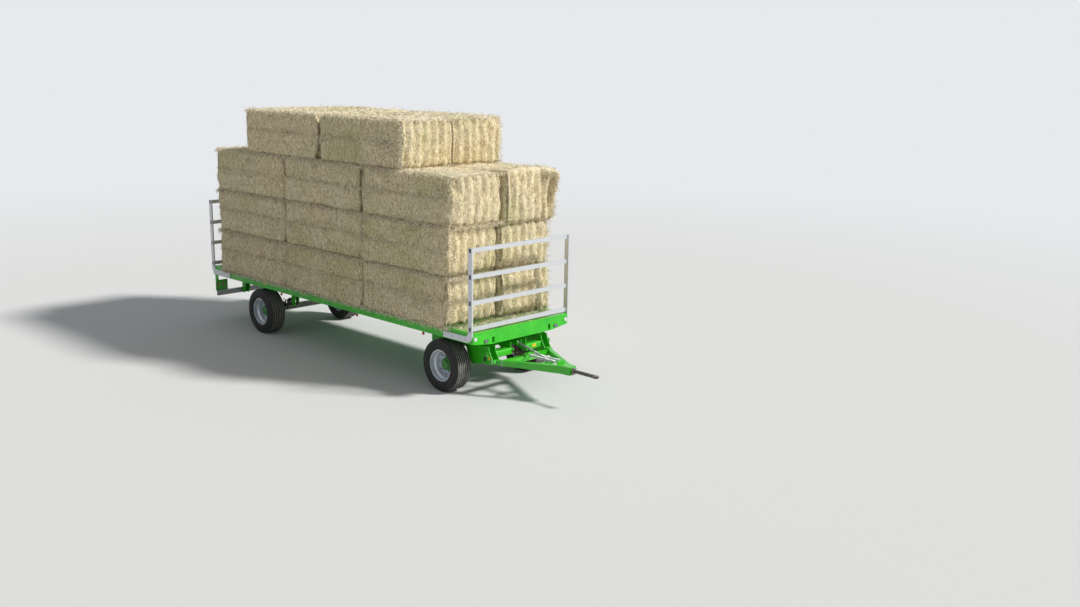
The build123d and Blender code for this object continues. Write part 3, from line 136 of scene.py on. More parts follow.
# Loose hay
HAY_REACH = 1.350  # no stalk reaches further from the middle
STALK_POINTS = 6
STALK_DROOP = 0.22
STALK_BEND = 0.10
FACING = 0.3  # a quad faces a way when its normal has this share of it
STRAW_PER_SQUARE_METRE = 520
FRINGE_PER_METRE = 260
TORN_PER_METRE = 1100
TUFT_PER_METRE = 700
WISPS_PER_SIDE = 16
WISP_PER_METRE = 420
CHAFF_PER_SQUARE_METRE = 900
CHAFF_HALF_WIDTH = 1.2
DECK_HALF_WIDTH = 1.235

# Tyres
TREAD_GROOVES = 6
TREAD_GROOVE_WIDTH = 0.020
TREAD_GROOVE_DEPTH = 0.018
TREAD_WIDTH = 0.318
TYRE_STEPS = 144
TYRE_SEAT = 286.3 / 498  # radius of the bead seat, as a share of the tyre's
BEAD_INSET = 0.0095
SHOULDER_NOTCH = 0.006
TYRE_WALL = (  # share of the radius, and how far out between tread and widest place
    (0.93, 0.012), (0.86, 0.55), (0.80, 0.84), (0.74, 0.98), (0.70, 1.0), (0.67, 0.97), (0.655, 0.99),
    (0.64, 0.95), (0.632, 0.85))

# Nuts, bolts and screws: half width over the corners, height, stud radius and how far the stud reaches
WHEEL_NUT = (0.0175, 0.022, 0.011, 0.034)
CAP_SCREW = (0.0065, 0.008)
CAP_NUT = (0.010, 0.009)
FOOT_BOLT = (0.013, 0.010, 0.007, 0.014)
REFLECTOR_SCREW = (0.0045, 0.004)
DRAIN_PLUG = (0.014, 0.012, 0.006, 0.022)
TANK_UNION = (0.013, 0.014, 0.007, 0.026)
U_BOLT_NUT = (0.0165, 0.0145, 0.0095, 0.021)
CLAMP_NUT = (0.009, 0.012, 0.005, 0.018)
CHAMBER_NUT = (0.010, 0.009, 0.005, 0.014)
HOOK_BOLT = (0.011, 0.008)
FLANGE_BOLT = (0.0105, 0.012, 0.006, 0.018)
FIN_BOLT = (0.010, 0.009)

# Wheels
WHEELS = ("front_left", "front_right", "rear_left", "rear_right")
WHEEL_NUTS = 10
WHEEL_NUT_CIRCLE = 0.1675
DISC_FACE = 0.9951  # outer face of the wheel discs, from the wagon's middle
CAP_SCREWS = 8
CAP_SCREW_CIRCLE = 0.101
HUB_SHOULDER = 1.0734
HUB_TIP = 1.1193
VALVE_ANGLE = 0.31
VALVE = ((0.243, -0.004), (0.245, 0.014), (0.252, 0.034))  # radius, and how far outside the disc

# Platform
GATE_FACE = 1.2753
GATE_BOLTS_X = (2.84, 3.02, 3.20, 3.38)
GATE_BOLTS_Z = 1.155
MIRROR_X = -1.906  # front and rear ends mirror about half of this
BEAM_HOLES = tuple(product((0.35, 0.41, 0.47), (1.135, 1.07))) + (
    (0.51, 1.185), (0.51, 1.054), (0.66, 1.178), (0.81, 1.185), (0.056, 1.13), (0.056, 1.066))
REFLECTOR_Y, REFLECTOR_Z = 1.19, 1.17
SIDE_MARKS = (2.127, 0.067, -2.653)
SIDE_MARK_Y = 1.211
MARK_BASE = ((0.024, -0.015), (0.030, -0.010), (0.0305, -0.003), (0.0285, -0.001))
MARK_LENS = ((0.0280, -0.003), (0.0274, 0.009), (0.0215, 0.0165), (0.0090, 0.0195))
MARK_STEM = ((0.0075, 0.0), (0.0065, 0.020), (0.0110, 0.041), (0.0130, 0.0455))
TANK_UNIONS_Y = (-0.20, 0.0, 0.20)
TANK_Z = 0.879

# Axles
AXLES = (("bogie", 2.612, "front"), ("chassis", -3.528, "rear"))
SPRING_Y = 0.69
U_BOLT_X, U_BOLT_Y = 0.0653, 0.0503
U_BOLT_LOW, U_BOLT_HIGH = 0.4306, 0.7088
CHAMBER_Y, CHAMBER_Z = 0.48, 0.633

# Drawbar and bogie
HINGE_X = 3.549
HINGE_Z = 0.658
HINGE_WELD = 0.0455
BOSS_HALF = 0.071
SPRING_COILS = 26
COIL_STEPS = 14
COIL_RADIUS = 0.0240
LIFT_SPRING_Y = 0.06
ROD_START = (3.379, 0.0, 0.9079)
ROD_END = (4.247, 0.0, 0.7223)
THREAD_TURNS = 50
THREAD_STEPS = 12
THREAD_PITCH = 0.0065
THREAD_RADIUS = 0.0170
HOOK_X, HOOK_Y, HOOK_Z = 3.700, 0.647, 0.701
HOOK_PATH = ((-0.004, 0.701), (0.014, 0.701), (0.023, 0.692), (0.025, 0.640), (0.018, 0.618), (0.030, 0.606))
DRAWBAR_Z = 0.628
FLANGE_BOLTS = 6
FLANGE_CIRCLE = 0.050
FIN_Y = 0.823
FIN_OUTLINE = ((-0.112, 0.185), (-0.072, 0.190), (-0.058, 0.120), (-0.070, 0.104), (-0.098, 0.112))
FIN_BOLT_X, FIN_BOLT_Z = HINGE_X - 0.085, HINGE_Z + 0.130
NOSE_FACE = 3.4812
BOGIE_SIDE = 0.777  # outer faces of the bogie's side boxes

AHEAD, ACROSS = (1, 0, 0), (0, 1, 0)
UP, DOWN = (0, 0, 1), (0, 0, -1)
SIDES = (-1, 1)


# Small tools

def linear(colour):
    """A colour given as 0 to 255 on a screen, as linear light with alpha 1."""
    shares = [value / 255 for value in colour]
    return (*(v / 12.92 if v <= 0.04045 else ((v + 0.055) / 1.055) ** 2.4 for v in shares), 1.0)


def join_parts(parts):
    """Several (points, faces) as one."""
    points, faces, start = [], [], 0
    for some_points, some_faces in parts:
        points.append(np.asarray(some_points, float).reshape(-1, 3))
        faces += [[int(i) + start for i in face] for face in some_faces]
        start += len(some_points)
    return np.concatenate(points), faces


def unit(vectors):
    """Vectors brought to length 1."""
    return vectors / np.linalg.norm(vectors, axis=-1, keepdims=True)


def add_object(name, data):
    """A new object in the scene."""
    made = bpy.data.objects.new(name, data)
    bpy.context.scene.collection.objects.link(made)
    return made


def make_piece(name, parts, material, body="chassis", smooth=True):
    """A mesh object from several (points, faces), riding on a CAD body if there is one."""
    points, faces = join_parts(parts)
    slot = SLOTS.get(material)
    if slot == "hay":
        points[:, 1] = np.clip(points[:, 1], -HAY_REACH, HAY_REACH)
    mesh = bpy.data.meshes.new(name)
    mesh.from_pydata(points.tolist(), [], faces)
    mesh.materials.append(material)
    if smooth:
        mesh.polygons.foreach_set("use_smooth", [True] * len(mesh.polygons))
    mesh.update()
    piece = add_object(name, mesh)
    if body:
        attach(piece, body)
    return piece


def lattice_noise(points, scale, seed):
    """Smooth noise between -1 and 1 at each point."""
    table = default_rng(seed).uniform(-1, 1, (NOISE_CELLS,) * 3)
    spot = np.asarray(points) * scale
    cell = np.floor(spot).astype(int)
    share = spot - cell
    share = share * share * (3 - 2 * share)
    total = np.zeros(len(spot))
    for corner in product((0, 1), repeat=3):
        i, j, k = ((cell + corner) % NOISE_CELLS).T
        total += np.where(corner, share, 1 - share).prod(axis=1) * table[i, j, k]
    return total


class Nodes:
    """Short calls for the nodes of a material or a world."""

    def __init__(self, owner, output):
        owner.use_nodes = True
        self.tree = owner.node_tree
        self.tree.nodes.clear()
        self.output = self.node(output)

    def put(self, value, socket):
        """A link for a socket, a colour of 0 to 255, or a plain value."""
        if isinstance(value, bpy.types.NodeSocket):
            self.tree.links.new(value, socket)
        elif socket.type == "RGBA" and len(value) == 3:
            socket.default_value = linear(value)
        else:
            socket.default_value = value

    def node(self, kind, *values, **named):
        """A node with values for its first sockets, then for named sockets or, in lower case, settings."""
        made = self.tree.nodes.new("ShaderNode" + kind)
        for value, socket in zip(values, made.inputs):
            self.put(value, socket)
        for key, value in named.items():
            if key.islower():
                setattr(made, key, value)
            else:
                self.put(value, made.inputs[key.replace("_", " ")])
        return made

    def calc(self, operation, first, second):
        return self.node("Math", first, second, operation=operation).outputs[0]

    def times(self, first, second):
        return self.calc("MULTIPLY", first, second)

    def glow(self, kind, colour, strength=1.0):
        """A shader that gives light of a linear colour."""
        return self.node(kind, (*colour, 1.0), strength).outputs[0]

    def show(self, share, first, second):
        """Two shaders mixed, as the output."""
        self.put(self.node("MixShader", share, first, second).outputs[0], self.output.inputs["Surface"])


class Shader(Nodes):
    """A material with a Principled shader and short calls for its textures."""

    def __init__(self, name, **settings):
        self.material = bpy.data.materials.new(name)
        super().__init__(self.material, "OutputMaterial")
        self.surface = self.node("BsdfPrincipled", **settings)
        self.put(self.surface.outputs[0], self.output.inputs["Surface"])
        self.place = self.node("TexCoord").outputs["Object"]

    def stretched(self, stretch, turn=(0, 0, 0)):
        """Object coordinates scaled, and turned, so that a texture runs along one direction."""
        turn = [radians(a) for a in turn]
        return self.node("Mapping", Vector=self.place, Scale=stretch, Rotation=turn).outputs[0]

    def noise(self, scale, detail=3.0, rough=0.55, place=None, distort=0.0):
        return self.node("TexNoise", Vector=place or self.place, Scale=scale, Detail=detail,
                         Roughness=rough, Distortion=distort).outputs["Fac"]

    def cells(self, scale):
        return self.node("TexVoronoi", self.place, Scale=scale).outputs

    def ramp(self, value, *stops):
        """Colours along a value; each stop is (position, colour)."""
        made = self.node("ValToRGB", value)
        while len(made.color_ramp.elements) < len(stops):
            made.color_ramp.elements.new(0.5)
        for element, (position, colour) in zip(made.color_ramp.elements, stops):
            element.position = position
            element.color = linear(colour)
        return made.outputs[0]

    def span(self, value, low, high, to_low=0.0, to_high=1.0):
        """A value's range brought to another, without going past its ends."""
        return self.node("MapRange", value, low, high, to_low, to_high).outputs[0]

    def mix(self, share, first, second, blend="MIX"):
        made = self.node("Mix", share, data_type="RGBA", blend_type=blend)
        self.put(first, made.inputs[6])
        self.put(second, made.inputs[7])
        return made.outputs[2]

    def upward(self, vector):
        """The vertical part of a vector."""
        return self.node("SeparateXYZ", vector).outputs[2]

    def facing_up(self, low, high):
        return self.span(self.upward(self.node("TexCoord").outputs["Normal"]), low, high)

    def colour(self, value):
        self.put(value, self.surface.inputs["Base Color"])

    def roughness(self, value, smooth, rough, start=0.3, stop=0.7):
        """Between smooth and rough, as a value goes from start to stop."""
        self.put(self.span(value, start, stop, smooth, rough), self.surface.inputs["Roughness"])

    def bump(self, value, distance, strength):
        made = self.node("Bump", Height=value, Distance=distance, Strength=strength)
        self.put(made.outputs[0], self.surface.inputs["Normal"])


# Materials

def paint(name, main, shade, dust_share=0.35, rough=(0.26, 0.42)):
    """Farm machine paint: slightly uneven, dusty where it faces up and near the ground."""
    shader = Shader(name, Coat_Weight=0.25, Coat_Roughness=0.12)
    cloud = shader.noise(2.3, detail=5)
    body = shader.ramp(cloud, (0.30, shade), (0.68, main))
    speck = shader.span(shader.noise(60, detail=4, rough=0.7), 0.55, 0.75)
    up = shader.facing_up(0.2, 1.0)
    low = shader.span(shader.upward(shader.place), 1.0, 0.35)
    dust = shader.times(shader.calc("MAXIMUM", up, low), shader.span(cloud, 0.35, 0.65, 0.3, 1.0))
    body = shader.mix(shader.times(dust, dust_share), body, (150, 142, 112))
    shader.colour(shader.mix(shader.times(speck, 0.07), body, (120, 116, 92)))
    shader.roughness(shader.noise(9, detail=4), *rough, start=0.35)
    shader.bump(shader.noise(420, detail=2), 0.0006, 0.25)
    return shader.material


def galvanised():
    """Hot-dip galvanised steel: pale, with faint spangle and dull streaks."""
    shader = Shader("galvanised_steel", Metallic=0.62)
    spangle = shader.ramp(shader.cells(90)["Color"], (0.0, (202, 206, 210)), (1.0, (212, 216, 220)))
    streak = shader.span(shader.noise(1.0, detail=5, place=shader.stretched((14, 14, 3))), 0.42, 0.7)
    shader.colour(shader.mix(shader.times(streak, 0.20), spangle, (178, 182, 186)))
    shader.roughness(shader.noise(24), 0.34, 0.55)
    shader.bump(shader.noise(160), 0.0008, 0.3)
    return shader.material


def bare_metal(name, main, shade, rough=(0.25, 0.45), metallic=0.9):
    """Zinc plate, aluminium or silver paint with fine grain."""
    shader = Shader(name, Metallic=metallic)
    shader.colour(shader.ramp(shader.noise(7, detail=5), (0.3, shade), (0.7, main)))
    shader.roughness(shader.noise(40), *rough)
    shader.bump(shader.noise(300, detail=2), 0.0005, 0.25)
    return shader.material


def rubber(name, dark, light):
    """Tyre rubber with a dusty film."""
    shader = Shader(name, Specular_IOR_Level=0.35)
    cloud = shader.noise(6, detail=6, rough=0.6)
    film = shader.span(shader.noise(38, detail=5, rough=0.7), 0.42, 0.66)
    body = shader.ramp(cloud, (0.32, dark), (0.66, light))
    shader.colour(shader.mix(shader.times(film, 0.30), body, (104, 100, 92)))
    shader.roughness(cloud, 0.62, 0.85)
    shader.bump(shader.noise(220), 0.0012, 0.4)
    return shader.material


def plastic(name, main, rough=0.45, worn=(52, 52, 54)):
    """Moulded plastic with a fine grain."""
    shader = Shader(name)
    shader.colour(shader.mix(shader.noise(18, detail=4), main, worn))
    shader.roughness(shader.noise(30), rough - 0.08, rough + 0.12)
    shader.bump(shader.noise(500, detail=2), 0.0004, 0.4)
    return shader.material


def lens(name, main, deep):
    """Lamp or reflector lens with moulded prisms."""
    shader = Shader(name, Coat_Weight=0.6, Coat_Roughness=0.05, Specular_IOR_Level=0.6)
    prisms = shader.cells(150)["Distance"]
    shader.colour(shader.mix(shader.span(prisms, 0.0, 0.6), main, deep))
    shader.roughness(shader.noise(60), 0.12, 0.25)
    shader.bump(prisms, 0.0008, 0.5)
    return shader.material


def hay():
    """Pressed hay: stalks mostly upright in the bale, with green, brown and pale patches, and faces that look
    up painted lighter as painted sunlight.
    """
    shader = Shader("hay", Specular_IOR_Level=0.2)

    def fibres(stretch, turn, distort):
        return shader.noise(1.0, rough=0.6, place=shader.stretched(stretch, turn), distort=distort)
    upright = fibres((44, 44, 11), (8, -10, 0), 1.5)
    leaning = fibres((56, 56, 17), (-28, 31, 30), 1.8)
    across = fibres((70, 12, 70), (0, 0, 18), 0.8)
    up = shader.facing_up(0.35, 0.8)
    stalks = shader.mix(up, shader.calc("MAXIMUM", upright, leaning),
                        shader.calc("MAXIMUM", across, leaning))
    clump = shader.noise(11, detail=4, rough=0.6)
    # Faces that look up get a lighter stalk value: painted sunlight on the tops of the bales.
    stalks_lit_on_top = shader.calc("ADD", stalks, shader.times(up, 0.09))
    body = shader.ramp(stalks_lit_on_top, (0.38, (104, 92, 64)), (0.47, (190, 177, 142)),
                       (0.56, (241, 232, 209)), (0.70, (255, 252, 243)))
    tint = shader.ramp(clump, (0.34, (226, 216, 190)), (0.52, (255, 252, 243)),
                       (0.70, (240, 222, 192)))
    green = shader.span(shader.noise(3.1, detail=4), 0.54, 0.72, 0.0, 0.28)
    body = shader.mix(green, shader.mix(0.8, body, tint, "MULTIPLY"), (176, 172, 128))
    bale = shader.ramp(shader.noise(0.62, detail=2), (0.38, (232, 236, 210)), (0.50, (250, 250, 244)),
                       (0.62, (252, 248, 236)))
    shader.colour(shader.mix(0.85, body, bale, "MULTIPLY"))
    shader.roughness(clump, 0.7, 0.95)
    shader.bump(stalks, 0.022, 0.9)
    return shader.material


def straw():
    """Loose stalks, each a little different."""
    shader = Shader("loose_straw", Specular_IOR_Level=0.3)
    each = shader.noise(34, detail=1)
    shader.colour(shader.ramp(each, (0.38, (142, 127, 92)), (0.46, (214, 200, 164)),
                              (0.55, (247, 238, 212)), (0.64, (255, 252, 240))))
    shader.roughness(each, 0.55, 0.8)
    return shader.material


def twine():
    """Knotter twine, sand coloured."""
    shader = Shader("bale_twine", Specular_IOR_Level=0.3)
    place = shader.stretched((1, 1, 1), (0, 35, 40))
    turns = shader.node("TexWave", place, Scale=90, wave_type="BANDS").outputs["Fac"]
    shader.colour(shader.mix(turns, (186, 170, 128), (226, 214, 180)))
    shader.roughness(turns, 0.6, 0.8, 0.0, 1.0)
    return shader.material


GREEN = paint("green_paint", (56, 193, 26), (36, 173, 21), dust_share=0.10)
GREEN_DECK = paint("deck_paint", (70, 172, 54), (48, 148, 40), dust_share=0.6, rough=(0.5, 0.7))
GREEN_HUB = paint("hub_paint", (20, 140, 40), (14, 118, 32), dust_share=0.2)
BLACK_PAINT = paint("black_paint", (34, 35, 37), (24, 25, 27), dust_share=0.5)
GALVANISED = galvanised()
ZINC = bare_metal("zinc_plate", (206, 208, 210), (168, 170, 172))
SILVER = bare_metal("silver_wheel_paint", (220, 226, 233), (200, 207, 216), (0.30, 0.48), 0.30)
ALUMINIUM = bare_metal("aluminium_bar", (190, 192, 195), (158, 160, 164), (0.3, 0.5), 0.8)
RUBBER = rubber("tyre_rubber", (12, 14, 16), (27, 30, 33))
# Rib tops of the tread: a light grey that is partly road wear and partly a painted highlight of sunlit ribs.
TREAD_WORN_AND_LIT = rubber("tread_rubber_worn_and_lit", (104, 102, 100), (134, 131, 127))
BLACK_PLASTIC = plastic("black_plastic", (20, 20, 22))
LABEL = plastic("blank_label", (226, 196, 28), 0.5, (204, 180, 60))
CLEAR_LENS = lens("clear_lens", (236, 239, 239), (196, 203, 205))
LAMP_GLASS = lens("lamp_glass", (176, 194, 188), (84, 100, 98))
AMBER_LENS = lens("amber_lens", (226, 96, 22), (168, 52, 10))
SIDE_GLASS = lens("side_lamp_glass", (250, 78, 40), (214, 40, 20))
RED_LENS = lens("red_lens", (222, 30, 24), (168, 14, 12))
HAY = hay()
STRAW = straw()
TWINE = twine()

# Finish of the CAD nodes by their slot in the record, and of some nodes by name
FINISHES = {
    "green_paint": GREEN, "green_dark": GREEN_HUB, "galvanised": GALVANISED, "zinc": ZINC,
    "spring_steel": BLACK_PAINT, "black_paint": BLACK_PAINT, "wheel_silver": SILVER,
    "aluminium_bar": ALUMINIUM, "tyre": RUBBER, "black_plastic": BLACK_PLASTIC,
    "white_lens": CLEAR_LENS, "amber_lens": AMBER_LENS, "red_lens": RED_LENS, "hay": HAY,
}
NODE_FINISHES = {"deck_plate": GREEN_DECK, "front_lamps": LAMP_GLASS}

# Slot of the pieces made here, by their material
SLOTS = {material: slot for slot, material in FINISHES.items()}
SLOTS.update({LABEL: "black_plastic", SIDE_GLASS: "amber_lens", STRAW: "hay", TWINE: "hay"})


def finish_nodes():
    """Every CAD node gets its finish."""
    slots = {part["node"]: part["material_slot"] for part in frame["record"]["subparts"]}
    for name, node in frame["nodes"].items():
        for place in node.material_slots:
            place.material = NODE_FINISHES.get(name, FINISHES[slots[name]])


# Forms

def skin(rows, steps, closed=False):
    """Faces between rows of points: closed into a ring, or with a cap on the first and last row."""
    faces = []
    for i in range(rows if closed else rows - 1):
        a, b = i * steps, (i + 1) % rows * steps
        faces += [(a + k, a + (k + 1) % steps, b + (k + 1) % steps, b + k) for k in range(steps)]
    if not closed:
        faces += [tuple(range(steps))[::-1], tuple(range((rows - 1) * steps, rows * steps))]
    return faces


def tube(path, radius, sides=4, closed=False):
    """A thin tube along a list of points."""
    path = np.array(path, float)
    count = len(path)
    ahead = np.roll(path, -1, axis=0) - np.roll(path, 1, axis=0)
    if not closed:
        ahead[0], ahead[-1] = path[1] - path[0], path[-1] - path[-2]
    ahead = unit(ahead)
    guide = np.array((0.31, 0.95, 0.08)) if abs(ahead[:, 1]).max() < 0.7 else np.array((0.95, 0.2, 0.31))
    first = unit(np.cross(ahead, guide))
    second = np.cross(ahead, first)
    angles = tau * np.arange(sides) / sides
    radius = np.broadcast_to(radius, count)[:, None, None]
    rings = path[:, None] + radius * (np.cos(angles)[None, :, None] * first[:, None]
                                      + np.sin(angles)[None, :, None] * second[:, None])
    return rings.reshape(-1, 3), skin(count, sides, closed)


def turned(profile, middle, axis, steps=16, ring=False, turn=0.0):
    """A profile of (radius, way along the axis) turned about it; capped, or closed on itself as a ring."""
    axis = unit(np.array(axis, float))
    first = unit(np.cross(axis, UP if abs(axis[2]) < 0.9 else ACROSS))
    second = np.cross(axis, first)
    angles = tau * np.arange(steps) / steps + turn
    around = np.cos(angles)[:, None] * first + np.sin(angles)[:, None] * second
    points = np.concatenate([np.array(middle) + along * axis + radius * around for radius, along in profile])
    return points, skin(len(profile), steps, ring)


def nut(spot, axis, kind, turn=0.0):
    """A chamfered hexagon on a washer, with the end of its stud."""
    size, tall, stud, reach = (*kind, 0, 0)[:4]
    washer = [(size * 1.25, 0.0), (size * 1.25, 0.0018), (size * 1.15, 0.0024)]
    hexagon = [(size * 0.92, 0.002), (size, 0.0045), (size, tall * 0.86), (size * 0.86, tall)]
    parts = [turned(washer, spot, axis, 18), turned(hexagon, spot, axis, 6, turn=turn)]
    if stud:
        parts.append(turned([(stud, tall * 0.8), (stud, reach - 0.002), (stud * 0.7, reach)], spot, axis, 10))
    return parts


def nut_circle(count, place, axis, kind, offset=0.5):
    """Nuts round a circle; place turns an angle into a point."""
    parts = []
    for i in range(count):
        parts += nut(place(tau * (i + offset) / count), axis, kind, turn=i)
    return parts


def band(middle, axis, outer, inner, width):
    """A rounded hoop about an axis."""
    half, soft = width / 2, min(width, outer - inner) * 0.25
    edge = [(outer - soft, -half), (outer, soft - half), (outer, half - soft), (outer - soft, half)]
    return turned([(inner, -half), *edge, (inner, half)], middle, axis, 36, ring=True)


def slab(outline, thickness, place):
    """A flat outline given in its own plane, made solid; place turns (u, v, height) into a point."""
    return np.array([place(u, v, h) for h in (0, thickness) for u, v in outline]), skin(2, len(outline))


def rounded(width, height, radius, steps=5):
    """The outline of a rectangle with round corners."""
    outline = []
    for quarter, (cx, cy) in enumerate(((1, 1), (-1, 1), (-1, -1), (1, -1))):
        for step in range(steps):
            a = (quarter + step / (steps - 1)) * pi / 2
            outline.append((cx * (width / 2 - radius) + radius * cos(a),
                            cy * (height / 2 - radius) + radius * sin(a)))
    return outline


def hinge_ring(radius, y, steps, wobble=0.0):
    """Points of a ring about the drawbar's hinge; y swings outward by the wobble."""
    return [(HINGE_X + radius * sin(a), y + wobble * cos(a), HINGE_Z + radius * cos(a))
            for a in np.linspace(0, tau, steps, endpoint=False)]


# Hay bales

def box_grid(cells):
    """The shell of a box divided into cells: points from -1 to 1 and the quads that close it."""
    steps = np.meshgrid(*[np.arange(n + 1) for n in cells], indexing="ij")
    grid = np.stack(steps, axis=-1)
    shell = ((grid == 0) | (grid == np.array(cells))).any(axis=-1)
    index = np.full(shell.shape, -1)
    index[shell] = np.arange(shell.sum())
    quads = []
    for axis in range(3):
        for end in (0, cells[axis]):
            sheet = np.take(index, end, axis)
            corners = (sheet[:-1, :-1], sheet[1:, :-1], sheet[1:, 1:], sheet[:-1, 1:])
            some = np.stack(corners, axis=-1).reshape(-1, 4)
            quads.append(some[:, ::-1] if (axis == 1) != (end == 0) else some)
    return grid[shell] / np.array(cells) * 2 - 1, np.concatenate(quads)


GRID_POINTS, GRID_QUADS = box_grid(BALE_CELLS)


def end_relief(spot, half, end, top, noise):
    """Ends ribbed by the strings, crowned, and rolled back at their top and bottom."""
    pitch = 2 * half[1] / STRINGS
    along = (spot[:, 1] + half[1] + RIB_WANDER * noise((1.7, 1.7, 3.4), 1)) / pitch - 0.5
    from_string = (along - np.round(along)) * pitch
    bite = np.exp(-(from_string / STRING_WIDTH) ** 2) * (0.7 + 0.45 * noise(4, 9))
    swell = np.cos(tau * (along - 0.5)) * (1 + 0.5 * noise((3, 5, 3), 7))
    height = np.abs(spot[:, 2] / half[2])
    out = RIB_SWELL * swell - STRING_BITE_END * bite
    out += END_CROWN * (1 - height ** 2) - END_ROLL * height ** 7 + END_MESS * noise(4.4, 14)
    return end * out - top * STRING_BITE_TOP * bite


def side_relief(spot, random, noise):
    """Sides in flakes, with the groove and the step between their two rows."""
    fold = spot[:, 2] - random.uniform(-0.03, 0.11) - 0.05 * noise(1.3, 3)
    groove = np.exp(-(fold / 0.020) ** 2) * np.clip(0.75 + 0.9 * noise(1.6, 10), 0, 1.2)
    return FLAKE_DEPTH * noise((8.5, 1.2, 1.6), 2) - SIDE_GROOVE * groove - SIDE_STEP * np.tanh(fold / 0.03)


def edge_wear(spot, half, end, side, inward, random, noise):
    """How much is gone from a bale's edges, from its upper end corners and toward the middle seam."""
    shares = np.abs(spot) / half
    worn = np.clip((np.sort(shares, axis=1)[:, 1] - WEAR_START) / (1 - WEAR_START), 0, 1) ** 2
    x, y, z = np.clip(shares, 0, 1).T
    ragged = random.uniform(0.01, 0.06, 2)[(spot[:, 0] > 0).astype(int)] * (spot[:, 2] > 0)
    gone = EDGE_WEAR * worn * (0.55 + 0.6 * noise((5, 5, 7), 8)) + ragged * x ** 14 * z ** 5 * y ** 3
    gone += COLUMN_VALLEY * side * x ** COLUMN_POWER * (0.8 + 0.6 * noise(1.5, 12))
    gone += END_BREAK * np.clip(worn * end * noise((2.4, 2.4, 3.1), 11), 0, 1)
    roll = np.clip(0.8 + 1.1 * noise((1.6, 1.6, 2.2), 13), 0.1, 1.6)
    return gone + INNER_ROLL * end * np.clip(inward, 0, 1) ** 9 * roll


def over_the_rail(points, low, width, side):
    """The lowest bales bulge over the side rail and droop outside it."""
    rise = points[:, 2] - low
    outer = points[:, 1] * side > width - 0.2
    points[:, 1] += side * OVERHANG * outer * np.exp(-(rise / OVERHANG_RISE) ** 2)
    past = points[:, 1] * side - DECK_EDGE - RAIL_CLEAR
    points[:, 2] -= DROOP * np.clip(past / 0.025, 0, 1) * np.clip(1 - rise / DROOP_RISE, 0, 1)
    points[past < 0, 2] = np.maximum(points[past < 0, 2], low)


def press_bale(low, high, seed, outer_side, bale):
    """One bale between two corners."""
    middle, half = (low + high) / 2, (high - low) / 2
    mirror = (1, outer_side, 1)
    spot = GRID_POINTS * half
    core = np.clip(spot, BALE_ROUND - half, half - BALE_ROUND)
    normal = unit(spot - core)
    spot = core + normal * BALE_ROUND
    end, side, top = np.abs(normal).T
    ground = spot + middle
    random = default_rng(seed)

    def noise(scale, step):
        return lattice_noise(ground, scale, seed + step)
    inward = -spot[:, 1] * outer_side / half[1]
    out = end_relief(spot, half, end, top, noise) + side * side_relief(spot, random, noise)
    out += sum(depth * noise(scale, step) for depth, scale, step in UNEVEN)
    out -= edge_wear(spot, half, end, side, inward, random, noise)
    seam = np.clip((inward - SEAM_START) / (1 - SEAM_START), 0, 1)
    sunk = SEAM_DEPTH * seam * np.clip(spot[:, 2] / half[2], 0, 1) ** 6
    if bale == TORN_BALE:
        hollow = half * mirror - (0, 0, BITE_DROP)
        out -= BITE_DEPTH * np.exp(-((spot - hollow) ** 2).sum(axis=1) / BITE_SIZE ** 2)
    forward, outward, upward = np.clip(spot / half * mirror, 0, 1).T
    pulled = forward ** 4 * outward ** 3 * upward ** 1.2
    if bale == LOOSE_BALE:
        lean = -inward - TEAR_PLACE - TEAR_LEAN * spot[:, 2] / half[2]
        out += TUFT * pulled - TEAR_DEPTH * end * np.exp(-(lean / TEAR_SIZE) ** 2) * (spot[:, 0] > 0)
    spot = spot + normal * (out + BALE_PROUD)[:, None]
    spot[:, 2] -= sunk
    if bale == LOOSE_BALE:
        spot[:, 2] *= 1 + LOOSENED * forward ** 3
        spot += pulled[:, None] * TUFT_PULL * mirror
    yaw = radians(random.uniform(-BALE_YAW, BALE_YAW))
    flat = spot[:, :2] @ np.array([[cos(yaw), sin(yaw)], [-sin(yaw), cos(yaw)]])
    points = np.column_stack([flat + random.uniform(-BALE_SHIFT, BALE_SHIFT, 2), spot[:, 2]]) + middle
    if bale[0] == 0:
        over_the_rail(points, low[2], high[1] - low[1], outer_side)
    return points


def node_bales(node):
    """The boxes of one CAD node's connected pieces, front to rear and right before left."""
    mesh = frame["nodes"][node].data
    points = np.array([v.co for v in mesh.vertices])
    _, spots = np.unique(np.round(points, 5), axis=0, return_inverse=True)
    spots = spots.ravel()
    ends = spots[np.array([edge.vertices for edge in mesh.edges])]
    group, before = np.arange(len(points)), None
    while not np.array_equal(group, before):
        before = group.copy()
        lowest = group[ends].min(axis=1)
        np.minimum.at(group, ends[:, 0], lowest)
        np.minimum.at(group, ends[:, 1], lowest)
    pieces = [points[group[spots] == g] for g in np.unique(group[spots])]
    boxes = [(piece.min(0), piece.max(0)) for piece in pieces]
    return sorted(boxes, key=lambda box: (-round(box[0][0], 3), box[0][1]))


def bale_strings(low, high):
    """The strings of one bale, each a loop along its top, ends and underside."""
    half, middle = (high - low) / 2, (high + low) / 2
    outline = rounded(2 * (half[0] - 0.022), 2 * (half[2] - 0.004), TWINE_BEND, 4)
    across = [low[1] + (k + 0.5) * 2 * half[1] / STRINGS for k in range(STRINGS)]
    return [tube([(middle[0] + u, y, middle[2] + v) for u, v in outline], TWINE_RADIUS, closed=True)
            for y in across]


# Loose hay

